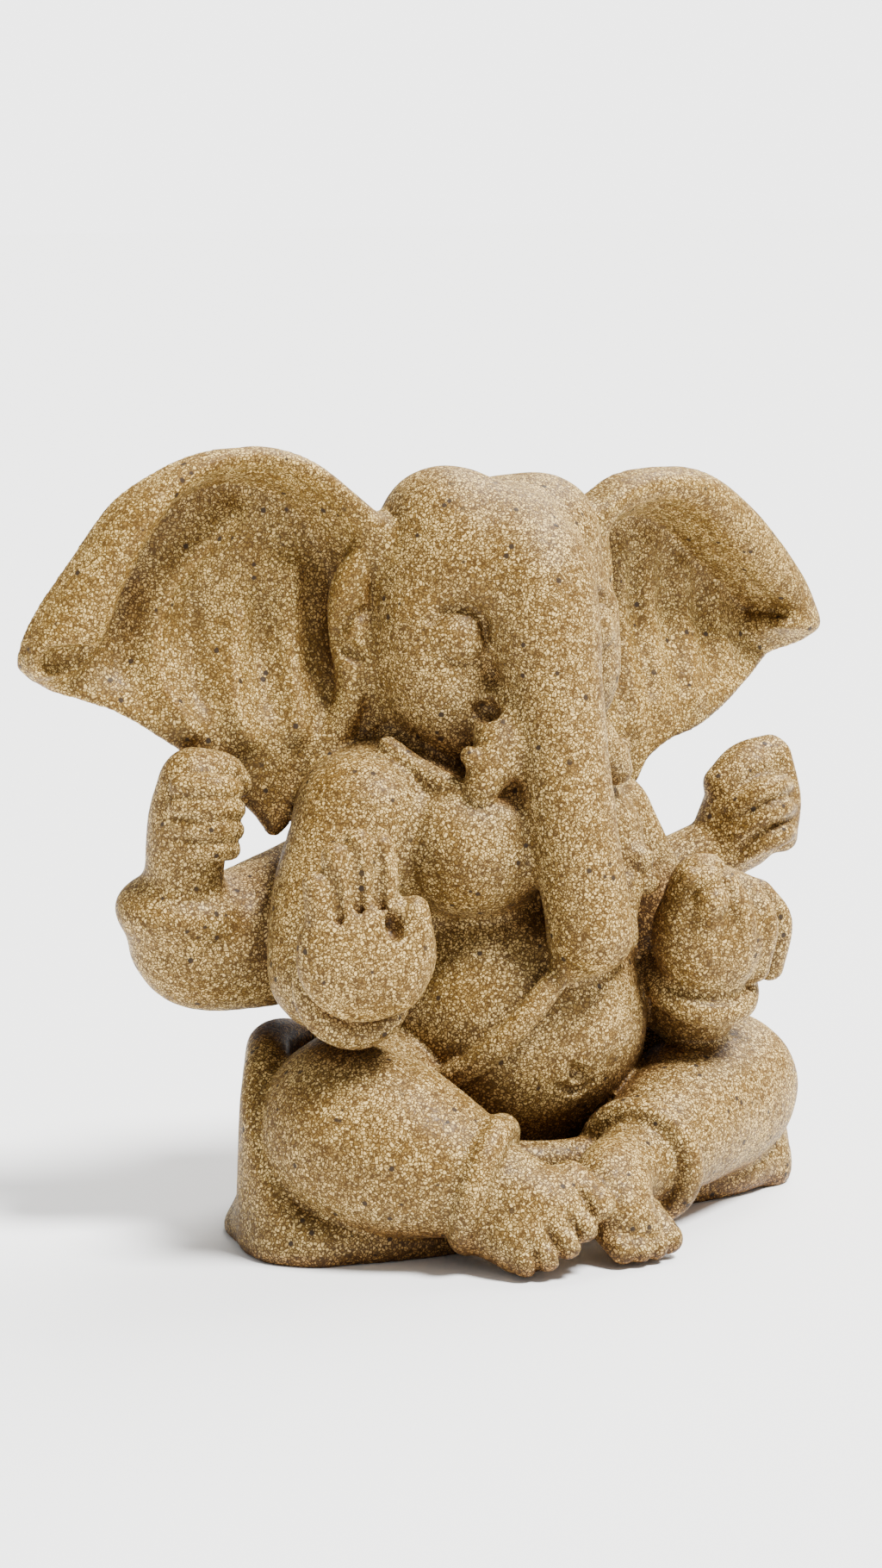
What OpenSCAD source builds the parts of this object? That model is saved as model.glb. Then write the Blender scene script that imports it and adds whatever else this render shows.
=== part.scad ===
// Seated elephant-headed idol, cast in sand-filled resin as separate members
// that are bonded on round pegs. Millimetres, +Z up, the figure looks along -Y,
// and its own right hand is on the -X side. The origin is on the flat underside.

/* [Seat] */
// Width of the seat cloth across the knees
seat_w = 58; // [48:1:68]
// Thickness of the seat cloth's rolled rim
rim_d = 5.2; // [4:0.2:6.4]
// Height of the rim where it wraps the hips
rim_h = 17; // [14:0.5:20]

/* [Body] */
// Radius of the belly
belly_r = 12.8; // [10.5:0.1:15]
// Height of the belly's centre
belly_h = 17.5; // [15:0.5:20]
// Height of the right shoulder, the higher one
shoulder_h = 36.5; // [33:0.5:42]
// Distance between the shoulder centres
shoulder_w = 26.5; // [23:0.5:31]
// Radius of a breast
breast_r = 6.2; // [5.2:0.1:7.4]
// Diameter of the sacred thread across the belly
thread_d = 2.6; // [2:0.1:3.2]
// Diameter of the necklace
necklace_d = 2; // [1.6:0.1:2.6]
// Depth of the navel
navel_d = 1.2; // [0.8:0.1:1.8]

/* [Legs] */
// Radius of the thigh and calf at the knee
leg_r = 8.4; // [7:0.1:10]
// Radius of the ankle
ankle_r = 4; // [3.4:0.1:4.8]
// Diameter of an anklet's roll
anklet_d = 3; // [2.4:0.1:3.6]
// Width of a foot across the toes
foot_w = 7.4; // [6:0.1:9]
// Radius of a small toe
toe_r = 1.25; // [1:0.05:1.5]

/* [Arms] */
// Radius of an upper arm below the shoulder
arm_r = 5.2; // [4.4:0.1:6.2]
// Radius of a wrist
wrist_r = 3.2; // [2.6:0.1:3.8]
// Diameter of a bracelet's roll
bracelet_d = 3; // [2.4:0.1:3.6]
// Width of the open palm
palm_w = 12.4; // [10.4:0.1:14.8]
// Thickness of the open palm
palm_t = 5; // [4.2:0.1:6]
// Radius of a finger
finger_r = 1.45; // [1.2:0.05:1.75]
// Radius of the sweet in the left palm
sweet_r = 2.3; // [1.9:0.1:2.8]

/* [Head] */
// Width of the head between the ears
head_w = 21.4; // [18:0.2:25]
// Height of the head's centre above the right shoulder
head_rise = 19; // [16:0.5:23]
// Radius of the trunk below the face
trunk_r = 4.1; // [3.4:0.1:5]
// Height of the trunk's lowest bend
trunk_end_h = 26.6; // [25:0.2:30]
// Radius of a tusk
tusk_r = 1.8; // [1.5:0.1:2.2]

/* [Ears] */
// Width from ear tip to ear tip
ear_span = 84; // [70:1:101]
// Height of the ears' upper edge above the head's centre
ear_rise = 13.4; // [11:0.2:16]
// Thickness of an ear at its middle
ear_t = 2.4; // [2:0.1:3]
// Height of the folded rim over the ear's face
ear_rim = 2.6; // [2.1:0.1:3.2]
// How far the ear tips are swept back
ear_sweep = 8; // [6:0.5:10]

/* [Joints] */
// Radius of the pegs at the neck and shoulders
peg_r = 2; // [1.6:0.1:2.4]
// Radius of the pegs at wrists, ankles and ears
small_peg_r = 1.2; // [1:0.1:1.4]
// Adhesive gap round a peg
peg_gap = 0.1; // [0.06:0.02:0.2]

/* [Hidden] */
resin = "tan";
$fn = 14;
fine = 8;  // facets of fingers, toes and thin trim

// ---- Landmarks of the figure: every member is placed from these ----
right_shoulder = [-shoulder_w/2 - 0.8, -2.5, shoulder_h];
left_shoulder = [shoulder_w/2 - 0.8, -1.5, shoulder_h - 2];
belly = [0, -2, belly_h];
belly_front = belly[1] - belly_r;
head = [0, 0.5, shoulder_h + head_rise];
right_knee = [-seat_w/2 + 9.8, -8.5, leg_r + 1.6];
left_knee = [seat_w/2 - 7.2, -5, leg_r + 0.4];
right_ankle = [-11.6, belly_front - 5.4, 6.6];
left_ankle = [4.6, belly_front - 2.8, 6.4];
front_right_wrist = right_shoulder + [-6.55, -9.1, -13.7];
front_left_wrist = [left_shoulder[0] + 2.55, left_shoulder[1] - 10.1, left_knee[2] + leg_r + 3.2];
rear_right_wrist = right_shoulder + [-15.35, 6.5, -5.9];
rear_left_wrist = left_shoulder + [11.15, 4.3, -5.9];

// A ball at a point whose fourth number is its radius
module ball(p) translate([p[0], p[1], p[2]]) sphere(r = p[3]);

// Clay rolled from ball to ball: a tapered limb
module roll(balls, facets = $fn) {
    $fn = facets;
    for (i = [0:len(balls) - 2])
        hull() {
            ball(balls[i]);
            ball(balls[i + 1]);
        }
}

// One lump of clay over all its balls
module lump(balls, facets = $fn) {
    $fn = facets;
    hull() for (b = balls) ball(b);
}

function add(p, offset, r) = [p[0] + offset[0], p[1] + offset[1], p[2] + offset[2], r];

// Turns +Z to point from a to b, with the origin at a
module aim(a, b) {
    d = b - a;
    translate(a) rotate([0, acos(d[2]/norm(d)), atan2(d[1], d[0])]) children();
}

// A peg along a line; grown by the adhesive gap it is the peg's socket
module peg(a, b, r, gap = 0)
    aim(a, b) translate([0, 0, -gap]) cylinder(r = r + gap, h = norm(b - a) + 2*gap);

// A soft ring round a limb: centre, the point it faces, inner seat radius, roll diameter
module ring(centre, towards, seat_r, d)
    aim(centre, towards) rotate_extrude($fn = 24) translate([seat_r + d/4, 0]) circle(d = d, $fn = 11);

// ---- Body ----
module torso_form() {
    lump([add(belly, [0, 0, 0], belly_r), add(belly, [0, 3, -4], belly_r - 1.2)]);
    lump([add(belly, [-6, 4, -9], 8), add(belly, [6, 4, -9], 8)]);
    lump([add(belly, [0, 3.5, 3], belly_r - 1.6), add(belly, [0, 4.5, 13], 9.4)]);
    lump([add(right_shoulder, [6.5, 3, -4.5], 7.6), add(left_shoulder, [-6.5, 3, -3], 7.4)]);
    // Breasts, resting on the belly
    lump([add(right_shoulder, [8, -4, -2.6], breast_r), add(right_shoulder, [9.4, -2.6, 0.4], 6)]);
    lump([add(left_shoulder, [-8, -4.4, -1.6], breast_r), add(left_shoulder, [-8.6, -2.6, 1], 6)]);
    // Shoulders and the nape
    lump([add(right_shoulder, [0, 0, 0], 6), add(right_shoulder, [6, 2.5, 0.5], 6.6)]);
    lump([add(left_shoulder, [0, 0, 0], 5.6), add(left_shoulder, [-6, 2.5, 0.5], 6.4)]);
    lump([add(head, [0, 1.5, -18], 7), add(head, [0, 1, -13], 6)]);
}

module torso() color(resin) difference() {
    intersection() {
        torso_form();
        translate([-50, -50, 2]) cube([100, 100, 100]);
    }
    translate([belly[0], belly[1] - belly_r + navel_d, belly[2] - 3.2])
        rotate([90, 0, 0]) cylinder(r1 = 0.6, r2 = 1.3, h = 4);
    peg_neck(peg_gap);
    peg_right_shoulder(peg_gap);
    peg_left_shoulder(peg_gap);
    peg_rear_right(peg_gap);
    peg_rear_left(peg_gap);
    peg_right_hip(peg_gap);
    peg_left_hip(peg_gap);
}

module waist_form() {
    for (a = [-75:25:75])
        hull() for (b = [a, a + 25])
            translate([belly[0] + (belly_r - 1.2)*sin(b), belly[1] - 0.5 - (belly_r - 1.4)*cos(b),
                       belly[2] - 9.4 + 2.2*pow(sin(b), 2)]) sphere(r = 2, $fn = fine);
}

module waist_cloth() color(resin) difference() {
    waist_form();
    torso_form();
    peg_right_hip(peg_gap);
    peg_left_hip(peg_gap);
}

// Follows the belly from under the left breast to the right hip, half sunk in it
module thread_form() {
    tilt = 36;
    for (a = [-70:14:28])
        hull() for (b = [a, a + 14])
            translate(belly) rotate([0, -tilt, 0]) rotate([0, 0, b])
                translate([0, -sqrt(belly_r*belly_r - 7), 2.6]) sphere(d = thread_d, $fn = fine);
}

module sacred_thread() color(resin) difference() {
    thread_form();
    torso_form();
    right_leg_form();
}

module necklace_form() {
    // From the right side of the neck down over the breasts and up to the left side
    right = [[2.05, -1.3, 5.8], [3.25, -2.9, 4.6], [5.25, -5.7, 2.8],
             [7.85, -8.5, 0.8], [11.05, -8.7, -0.8]];
    left = [[-9.45, -9.4, 1], [-6.45, -8.1, 2.6], [-4.05, -4.3, 4.4], [-2.65, -1.1, 5.4]];
    path = concat([for (p = right) right_shoulder + p], [[0, -10, shoulder_h - 1.6]],
                  [for (p = left) left_shoulder + p]);
    for (i = [0:len(path) - 2])
        hull() for (p = [path[i], path[i + 1]])
            translate(p) sphere(d = necklace_d, $fn = fine);
}

module necklace() color(resin) difference() {
    necklace_form();
    torso_form();
    head_form();
}

// ---- Pegs: each is cast on the outer member and sunk in the inner one ----
module peg_neck(gap = 0) peg(head + [0, 1.5, -4], head + [0, 1.5, -13], peg_r, gap);
module peg_right_shoulder(gap = 0)
    peg(right_shoulder + [-4.6, -2.4, -8], right_shoulder + [1.6, 0, -2.4], peg_r, gap);
module peg_left_shoulder(gap = 0)
    peg(left_shoulder + [2, -3, -8.4], left_shoulder + [-2.4, 0, -2], peg_r, gap);
module peg_rear_right(gap = 0)
    peg(right_shoulder + [-1.45, 6.5, -10.5], right_shoulder + [7.55, 6.5, -9.5], peg_r, gap);
module peg_rear_left(gap = 0)
    peg(left_shoulder + [2.05, 5.5, -7.7], left_shoulder + [-5.95, 5.5, -7.5], peg_r, gap);
module peg_right_hip(gap = 0) peg([-15.5, -3, 11], [-6, 0, 12], peg_r, gap);
module peg_left_hip(gap = 0) peg([16, -2, 10], [6, 0, 12], peg_r, gap);
module peg_trunk(gap = 0) peg(head + [0, -11, -2], head + [0, -3, -1], peg_r, gap);
module peg_ear(side, gap = 0)
    peg(head + [side*(head_w/2 + 1.2), 2, 1], head + [side*4.5, 2, 1], small_peg_r, gap);

// ---- Head ----
module head_form() {
    lump([add(head, [-1.6, 0.6, 2], head_w/2 - 1.6), add(head, [1.6, 0.6, 1.8], head_w/2 - 1.6)]);
    // The two lobes of the crown
    lump([add(head, [-5.2, 0.2, 7], 4.6), add(head, [-3, 2.5, 4], 7)]);
    lump([add(head, [5.4, 0.2, 6.4], 4.6), add(head, [3, 2.5, 3.6], 7)]);
    // Brow, running out into the trunk
    lump([add(head, [-3.2, -4.4, 2], 5.4), add(head, [3.2, -4.4, 2], 5.4), add(head, [0, -6, -3], 4.8)]);
    // Cheeks and jaw
    for (side = [-1, 1]) {
        lump([add(head, [side*5.8, -1.6, -4.6], 4.9), add(head, [side*4.2, -2.4, -8.6], 4.6)]);
        // Sheath of a tusk
        lump([add(head, [side*4.3, -5, -9.5], 2.4), add(head, [side*4.9, -8.6, -12.6], 2.2)]);
    }
    lump([add(head, [0, -1, -9.5], 6), add(head, [0, 1.5, -13.5], 5.4)]);
    // Roots of the ears, down to the shoulders
    lump([add(head, [-6.6, 2, -4], 4.6), add(head, [6.6, 2, -4], 4.6),
          add(head, [-5.8, 2.4, -11], 4.2), add(head, [5.8, 2.4, -11], 4.2)]);
    // Lower lip behind the trunk
    roll([add(head, [0, -3, -13], 3.4), add(head, [-2.4, -7.2, -17], 2), add(head, [-3, -8, -19], 1.5)]);
}

module head() color(resin) {
    difference() {
        head_form();
        torso_form();
        peg_trunk(peg_gap);
        peg_ear(-1, peg_gap);
        peg_ear(1, peg_gap);
        peg_tusk(-1, peg_gap);
        peg_tusk(1, peg_gap);
    }
    peg_neck();
}

module trunk_form() {
    bend = [1.3, belly_front - 0.2, trunk_end_h];
    roll([add(head, [0, -7.4, 2], trunk_r + 0.9), add(head, [0.3, -10, -5.5], trunk_r + 0.4),
          add(head, [0.2, -12.3, -13.4], trunk_r - 0.1), add(bend, [-0.9, 1.2, 9.6], trunk_r - 0.2),
          add(bend, [-0.4, 0.4, 4.4], trunk_r - 0.3), add(bend, [0, 0, 0], trunk_r - 0.4)]);
    // The tip turns back up beside the belly, with its two lips
    roll([add(bend, [0, 0, 0], trunk_r - 0.5), add(bend, [3.7, 1, -0.8], 2.7),
          add(bend, [6.5, 2.6, 1], 2.1), add(bend, [7.9, 3.6, 4], 1.7), add(bend, [8.1, 4.4, 5.6], 1.3)]);
    lump([add(bend, [7.9, 3.6, 3], 1.5), add(bend, [8.9, 3.4, 3.8], 1.2)]);
}

module trunk() color(resin) {
    difference() {
        trunk_form();
        head_form();
        torso_form();
        thread_form();
        necklace_form();
    }
    peg_trunk();
}

module peg_tusk(side, gap = 0)
    peg(head + [side*5.6, -10, -13.6], head + [side*4.4, -6.4, -10.4], 1, gap);

module tusk_form(side)
    roll([add(head, [side*4.9, -8.4, -12.4], tusk_r + 0.2), add(head, [side*5.7, -9.8, -14.2], tusk_r),
          add(head, [side*6.4, -10.4, -15.8], tusk_r - 0.5)], fine);

module tusk(side) color("wheat") difference() {
    union() {
        difference() {
            tusk_form(side);
            head_form();
            trunk_form();
        }
        peg_tusk(side);
    }
    torso_form();
    necklace_form();
}

// ---- Ears ----
// A closed smooth line through the points of a rough outline
function curve_at(p, i, t) =
    let (n = len(p), a = p[(i + n - 1)%n], b = p[i], c = p[(i + 1)%n], d = p[(i + 2)%n])
    (2*b + (c - a)*t + (2*a - 5*b + 4*c - d)*t*t + (3*b - a - 3*c + d)*t*t*t)/2;
function curve(p, steps) = [for (i = [0:len(p) - 1], s = [0:steps - 1]) curve_at(p, i, s/steps)];

// An ear's outline, as shares of the way from its root to its tip and millimetres over
// the head's centre; the lobe at its foot reaches down to the shoulder
right_outline = [
    [0.01, 7.6], [0.15, ear_rise - 0.6], [0.33, ear_rise + 0.4], [0.55, ear_rise - 1.4], [0.76, 7.4],
    [0.92, 1.6], [1, -4.4], [0.91, -7.6], [0.73, -9.8], [0.55, 6.2 - head_rise],
    [0.36, 0.4 - head_rise], [0.25, -1.6 - head_rise], [0.15, 4 - head_rise], [0.04, -10], [0, -2]];
left_outline = [
    [0.01, 7.6], [0.15, ear_rise - 3], [0.33, ear_rise - 3], [0.52, ear_rise - 4.4], [0.71, 4.8],
    [0.89, -1.8], [0.97, -6], [0.87, -8.6], [0.68, -11], [0.52, 5 - head_rise],
    [0.36, 3 - head_rise], [0.23, 0.4 - head_rise], [0.09, 5 - head_rise], [0.03, -8], [0, -1]];

// Rings from the middle of the dish to the rim: share of the way out, then how far
// the face and the back stand towards the front, as shares of the rim's height
ear_rings = [[0.35, -1.2, -1.2], [0.7, -0.8, -0.8], [0.84, 0, -0.4],
             [0.9, 0.85, 0], [0.95, 1, 0.1], [1, 0.4, 0.2]];
ear_dish = -1.4;  // the same share at the dish's middle

module ear_form(side, outline) {
    edge = curve(outline, 3);
    n = len(edge);
    middle = [0.47, -1.5];
    root = head_w/2 - 0.2;
    out = function(t) root + t*(ear_span/2 - root);
    depth = function(t) 1.6 + ear_sweep*pow(2*out(t)/ear_span, 2);
    place = function(s, i) let (p = middle + s*(edge[i] - middle))
        [side*out(p[0]), head[1] + depth(p[0]), head[2] + p[1]];
    front = [for (r = ear_rings) for (i = [0:n - 1]) place(r[0], i) + [0, -ear_t/2 - r[1]*ear_rim, 0]];
    back = [for (r = ear_rings) for (i = [0:n - 1]) place(r[0], i) + [0, ear_t/2 - r[2]*ear_rim, 0]];
    last = len(ear_rings) - 1;
    hub = [side*out(middle[0]), head[1] + depth(middle[0]) - ear_dish*ear_rim, head[2] + middle[1]];
    points = concat(front, back, [hub + [0, -ear_t/2, 0], hub + [0, ear_t/2, 0]]);
    m = n*len(ear_rings);
    faces = concat(
        [for (k = [0:last - 1], i = [0:n - 1])
            [k*n + i, k*n + (i + 1)%n, (k + 1)*n + (i + 1)%n, (k + 1)*n + i]],
        [for (k = [0:last - 1], i = [0:n - 1])
            [m + k*n + i, m + (k + 1)*n + i, m + (k + 1)*n + (i + 1)%n, m + k*n + (i + 1)%n]],
        [for (i = [0:n - 1]) [last*n + i, last*n + (i + 1)%n, m + last*n + (i + 1)%n, m + last*n + i]],
        [for (i = [0:n - 1]) [2*m, (i + 1)%n, i]],
        [for (i = [0:n - 1]) [2*m + 1, m + i, m + (i + 1)%n]]);
    polyhedron(points, [for (f = faces) side < 0 ? f : [for (i = [len(f) - 1:-1:0]) f[i]]], convexity = 6);
}

module ear(side, outline) color(resin) {
    difference() {
        ear_form(side, outline);
        head_form();
        torso_form();
    }
    peg_ear(side);
}

// ---- Legs, crossed at the ankles ----
module right_leg_form()
    roll([[-11, -1, 10.4, leg_r - 0.8], add(right_knee, [0, 0, 0], leg_r),
          add(right_knee, [1.6, -4.6, -0.6], leg_r - 0.8), add(right_ankle, [-3.2, 3.1, 2], ankle_r + 2),
          add(right_ankle, [0, 0, 0], ankle_r + 0.2), add(right_ankle, [0.6, -0.8, -0.2], ankle_r - 0.4)]);

module left_leg_form() {
    roll([[12, 0, 10, leg_r - 1.4], add(left_knee, [0, 0, 0], leg_r - 1.2),
          add(left_knee, [-6.2, -4.6, -0.4], leg_r - 1.6)]);
    roll([add(left_knee, [-6.2, -4.6, -0.4], leg_r - 1.6), add(left_ankle, [4.6, 3, 1.2], ankle_r + 1.4),
          add(left_ankle, [0, 0, 0], ankle_r - 0.2), add(left_ankle, [-1, -0.8, 0], ankle_r - 0.8)]);
    // Calf folded under the thigh
    roll([add(left_knee, [-2, 3, -1], leg_r - 2), add(left_knee, [-12, 0, -2], leg_r - 3),
          add(left_knee, [-14, -6, -2], 4)]);
}

module right_leg() color(resin) {
    difference() {
        right_leg_form();
        torso_form();
        waist_form();
        peg_right_foot(peg_gap);
    }
    peg_right_hip();
}

module left_leg() color(resin) {
    difference() {
        left_leg_form();
        torso_form();
        waist_form();
        right_leg_form();
        peg_left_foot(peg_gap);
    }
    peg_left_hip();
}

module right_anklet_form()
    ring(right_ankle + [-0.4, 0.4, 0.2], right_ankle + [3, -3, -1], ankle_r - 0.2, anklet_d);
module left_anklet_form()
    ring(left_ankle + [0.6, 0.4, 0.1], left_ankle + [-3.4, -3, -0.2], ankle_r - 0.8, anklet_d);

module right_anklet() color(resin) difference() {
    right_anklet_form();
    right_leg_form();
    torso_form();
    waist_form();
    peg_right_foot();
}

module left_anklet() color(resin) difference() {
    left_anklet_form();
    left_leg_form();
    torso_form();
    waist_form();
    right_leg_form();
    right_anklet_form();
    right_foot_form();
}

module peg_right_foot(gap = 0)
    peg(right_ankle + [3, -5.2, -1], right_ankle + [-3, 3, 1.2], small_peg_r, gap);
module peg_left_foot(gap = 0)
    peg(left_ankle + [-4, -3.4, 0], left_ankle + [3.4, 2, 0.6], small_peg_r, gap);

// Five toes in a row, the big one first
module toes(first, last, direction) {
    for (i = [0:4]) {
        tip = first + (last - first)*i/4;
        r = i == 0 ? toe_r + 0.35 : toe_r - 0.05*i;
        roll([[tip[0], tip[1], tip[2], r], add(tip, -direction*2.6, r + 0.2)], fine);
    }
}

module right_foot_form() {
    sole = right_ankle + [2.2, -5.6, -2.2];
    lump([add(right_ankle, [1, -2, 0], ankle_r - 0.3), add(sole, [1.6, -0.6, 1], 2.9),
          add(sole, [-1.6, -0.4, -1.2], 3)]);
    lump([add(right_ankle, [-0.4, -2.4, -2.6], 3), add(sole, [-1.6, -0.4, -1.2], 3)]);
    lump([add(right_ankle, [1, -2, 0.2], 3.2), add(sole, [2.2, -1, 1.6], 2.2)]);
    toes(sole + [2.9, -2.4, 2.4], sole + [2.9 - foot_w*0.8, -2, 2.4 - foot_w*0.64], [0.34, -0.9, -0.2]);
}

module left_foot_form() {
    sole = left_ankle + [-4.8, -6.4, -2.6];
    lump([add(left_ankle, [-1, -1, 0], ankle_r - 0.8), add(sole, [0.4, 0, 0.4], 3),
          add(sole, [0.6, -1.2, -0.8], 2.7)]);
    lump([add(left_ankle, [-3, -2.4, 0.2], 3), add(sole, [0, -0.6, -0.6], 2.8)]);
    lump([add(left_ankle, [-2, -2.6, -1.6], 3), add(sole, [1, -0.4, -1], 2.5)]);
    toes(sole + [2.2, -3, -2], sole + [2.2 - foot_w*0.6, -3.2, -1], [0.1, -0.8, -0.5]);
}

module right_foot() color(resin) {
    difference() {
        right_foot_form();
        right_leg_form();
        right_anklet_form();
    }
    peg_right_foot();
}

module left_foot() color(resin) {
    difference() {
        left_foot_form();
        waist_form();
        left_leg_form();
        left_anklet_form();
        right_leg_form();
        right_anklet_form();
        right_foot_form();
    }
    difference() {
        peg_left_foot();
        right_foot_form();
    }
}

// ---- Seat cloth: flat below, rolled up round the hips and knees ----
module seat_form() {
    half = seat_w/2;
    r = rim_d/2;
    // Plan of the rolled edge, with the height of the roll there
    edge = [[-half + 5.6, -11.6, r + 0.2], [-half + 3.4, -8.8, 4.4], [-half + 3.8, -4.4, rim_h - 6],
            [-half + 6.4, 1, rim_h - 1], [-half + 11.6, 7, rim_h - 1], [-half + 20, 10.6, rim_h - 4],
            [half - 20, 10.6, rim_h - 5], [half - 9, 7.6, rim_h - 6], [half - 2.4, 2.6, rim_h - 8.4],
            [half - 1, -3, r + 3.2], [half - 6.6, -9, r]];
    for (i = [0:len(edge) - 2])
        hull() for (p = [edge[i], edge[i + 1]]) {
            translate([p[0], p[1], r]) sphere(r = r);
            translate([p[0], p[1], p[2]]) sphere(r = r - 0.6);
            translate([0.7*p[0], 0.5*p[1], r]) sphere(r = r);
        }
    // Front hem under the shins
    roll([[-half + 5.6, -11.6, r - 0.6, r], [-half + 13, -11, r - 0.8, r], [-10, -10, r - 0.6, r],
          [half - 15, -8.8, r - 0.4, r - 0.2], [half - 6.6, -9, r - 0.2, r]]);
    lump([[-18, -6, r, r], [18, -6, r, r], [-18, 6, r, r], [18, 6, r, r]]);
}

module seat_cloth() color(resin) difference() {
    intersection() {
        seat_form();
        translate([-50, -50, 0]) cube([100, 100, 50]);
    }
    intersection() {
        torso_form();
        translate([-50, -50, 2]) cube([100, 100, 100]);
    }
    waist_form();
    right_leg_form();
    left_leg_form();
    right_foot_form();
    left_foot_form();
    left_anklet_form();
    right_anklet_form();
    front_left_arm_form();
    front_right_arm_form();
    rear_left_arm_form();
    rear_right_arm_form();
}

// ---- Arms ----
module front_right_arm_form()
    roll([add(right_shoulder, [-1.2, -0.6, -1], 5.8), add(right_shoulder, [-4.6, -2.4, -7.6], arm_r),
          add(front_right_wrist, [-0.8, 4.2, 0.6], arm_r - 0.7),
          add(front_right_wrist, [0, 0, 0], wrist_r + 0.6)]);

module front_left_arm_form()
    roll([add(left_shoulder, [0.6, -0.6, -1], 5.4), add(left_shoulder, [1.6, -3, -8], arm_r - 0.4),
          add(front_left_wrist, [1.4, 3.6, -2.4], arm_r - 0.8),
          add(front_left_wrist, [0, -0.2, 0.4], wrist_r + 0.6)]);

module rear_right_arm_form()
    roll([add(right_shoulder, [3.05, 6.9, -7.5], 6.6), add(right_shoulder, [-4.55, 6.7, -10.3], 6.9),
          add(right_shoulder, [-10.55, 7.1, -11.9], 6.1), add(rear_right_wrist, [0.2, 0.4, -5.6], 5.2),
          add(rear_right_wrist, [0, 0, -0.6], wrist_r + 0.8)]);

module rear_left_arm_form()
    roll([add(left_shoulder, [-2.45, 5.9, -6.5], 6), add(left_shoulder, [2.95, 5.5, -7.1], 4.4),
          add(rear_left_wrist, [-3.6, 0.6, -1.4], wrist_r + 0.6),
          add(rear_left_wrist, [0, 0, 0], wrist_r)]);

module front_right_arm() color(resin) {
    difference() {
        front_right_arm_form();
        torso_form();
        necklace_form();
        ear_form(-1, right_outline);
        rear_right_arm_form();
        right_leg_form();
        peg_front_right_hand(peg_gap);
    }
    peg_right_shoulder();
}

module front_left_arm() color(resin) {
    difference() {
        front_left_arm_form();
        torso_form();
        necklace_form();
        ear_form(1, left_outline);
        trunk_form();
        rear_left_arm_form();
        left_leg_form();
        waist_form();
        peg_front_left_hand(peg_gap);
    }
    peg_left_shoulder();
}

module rear_right_arm() color(resin) {
    difference() {
        rear_right_arm_form();
        torso_form();
        ear_form(-1, right_outline);
        right_leg_form();
        peg_rear_right_hand(peg_gap);
        peg_right_shoulder(peg_gap);
    }
    peg_rear_right();
}

module rear_left_arm() color(resin) {
    difference() {
        rear_left_arm_form();
        torso_form();
        ear_form(1, left_outline);
        left_leg_form();
        peg_rear_left_hand(peg_gap);
        peg_left_shoulder(peg_gap);
    }
    peg_rear_left();
}

// ---- Bracelets ----
module front_right_bracelet_form()
    ring(front_right_wrist + [0, -0.6, 0], front_right_wrist + [-0.4, -3, 0.8], wrist_r + 0.4, bracelet_d);
module front_left_bracelet_form()
    ring(front_left_wrist + [0, 0.4, 0], front_left_wrist + [0, -1.6, 3], wrist_r + 0.6, bracelet_d);
module rear_right_bracelet_form()
    ring(rear_right_wrist + [0.2, 0, -0.8], rear_right_wrist + [0.2, -0.4, 3], wrist_r + 0.6, bracelet_d);

module front_right_bracelet() color(resin) difference() {
    front_right_bracelet_form();
    front_right_arm_form();
    right_leg_form();
    torso_form();
}

module front_left_bracelet() color(resin) difference() {
    front_left_bracelet_form();
    front_left_arm_form();
    left_leg_form();
    torso_form();
    waist_form();
}

module rear_right_bracelet() color(resin) difference() {
    rear_right_bracelet_form();
    rear_right_arm_form();
    torso_form();
}

// ---- Hands ----
module peg_front_right_hand(gap = 0)
    peg(front_right_wrist + [-0.4, -4.8, 1.4], front_right_wrist + [0, 3, -0.2], small_peg_r, gap);
module peg_front_left_hand(gap = 0)
    peg(front_left_wrist + [0, -2.4, 5], front_left_wrist + [0.6, 1.8, -1.6], small_peg_r, gap);
module peg_rear_right_hand(gap = 0)
    peg(rear_right_wrist + [0, -0.6, 4], rear_right_wrist + [0, 0, -4], small_peg_r, gap);
module peg_rear_left_hand(gap = 0)
    peg(rear_left_wrist + [4, -1, 1.4], rear_left_wrist + [-3.6, 0.6, -1.4], small_peg_r, gap);

// Raised open hand: palm to the front, four joined fingers up and the thumb towards the chest
module front_right_hand_form() {
    w = palm_w/2;
    t = palm_t/2;
    translate(front_right_wrist + [-0.4, -4.6, 2.8]) rotate([0, 0, -12]) {
        lump([[-w + 3.6, 0, 0, t + 0.4], [w - 3.6, 0, 0.4, t + 0.4],
              [-w + 3, 0, 5.6, t], [w - 3, 0, 5.4, t]]);
        lump([[0, 0.4, -1.6, t + 0.8], [-w + 4, 0, -1, t], [w - 4, 0, -1, t]]);
        for (i = [0:3]) {
            x = -w + 2.6 + i*(w - 2)*0.56;
            tip = 13.4 - 0.5*pow(i - 1.6, 2);
            roll([[x, 0, 6, finger_r + 0.5], [x, -0.2, tip - 3, finger_r],
                  [x, 0.3, tip, finger_r - 0.15]], fine);
        }
        roll([[w - 3.6, -0.2, 2, t - 0.2], [w - 1.4, -1, 6, finger_r + 0.2],
              [w - 1, -1.2, 7.4, finger_r]], fine);
    }
}

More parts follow.
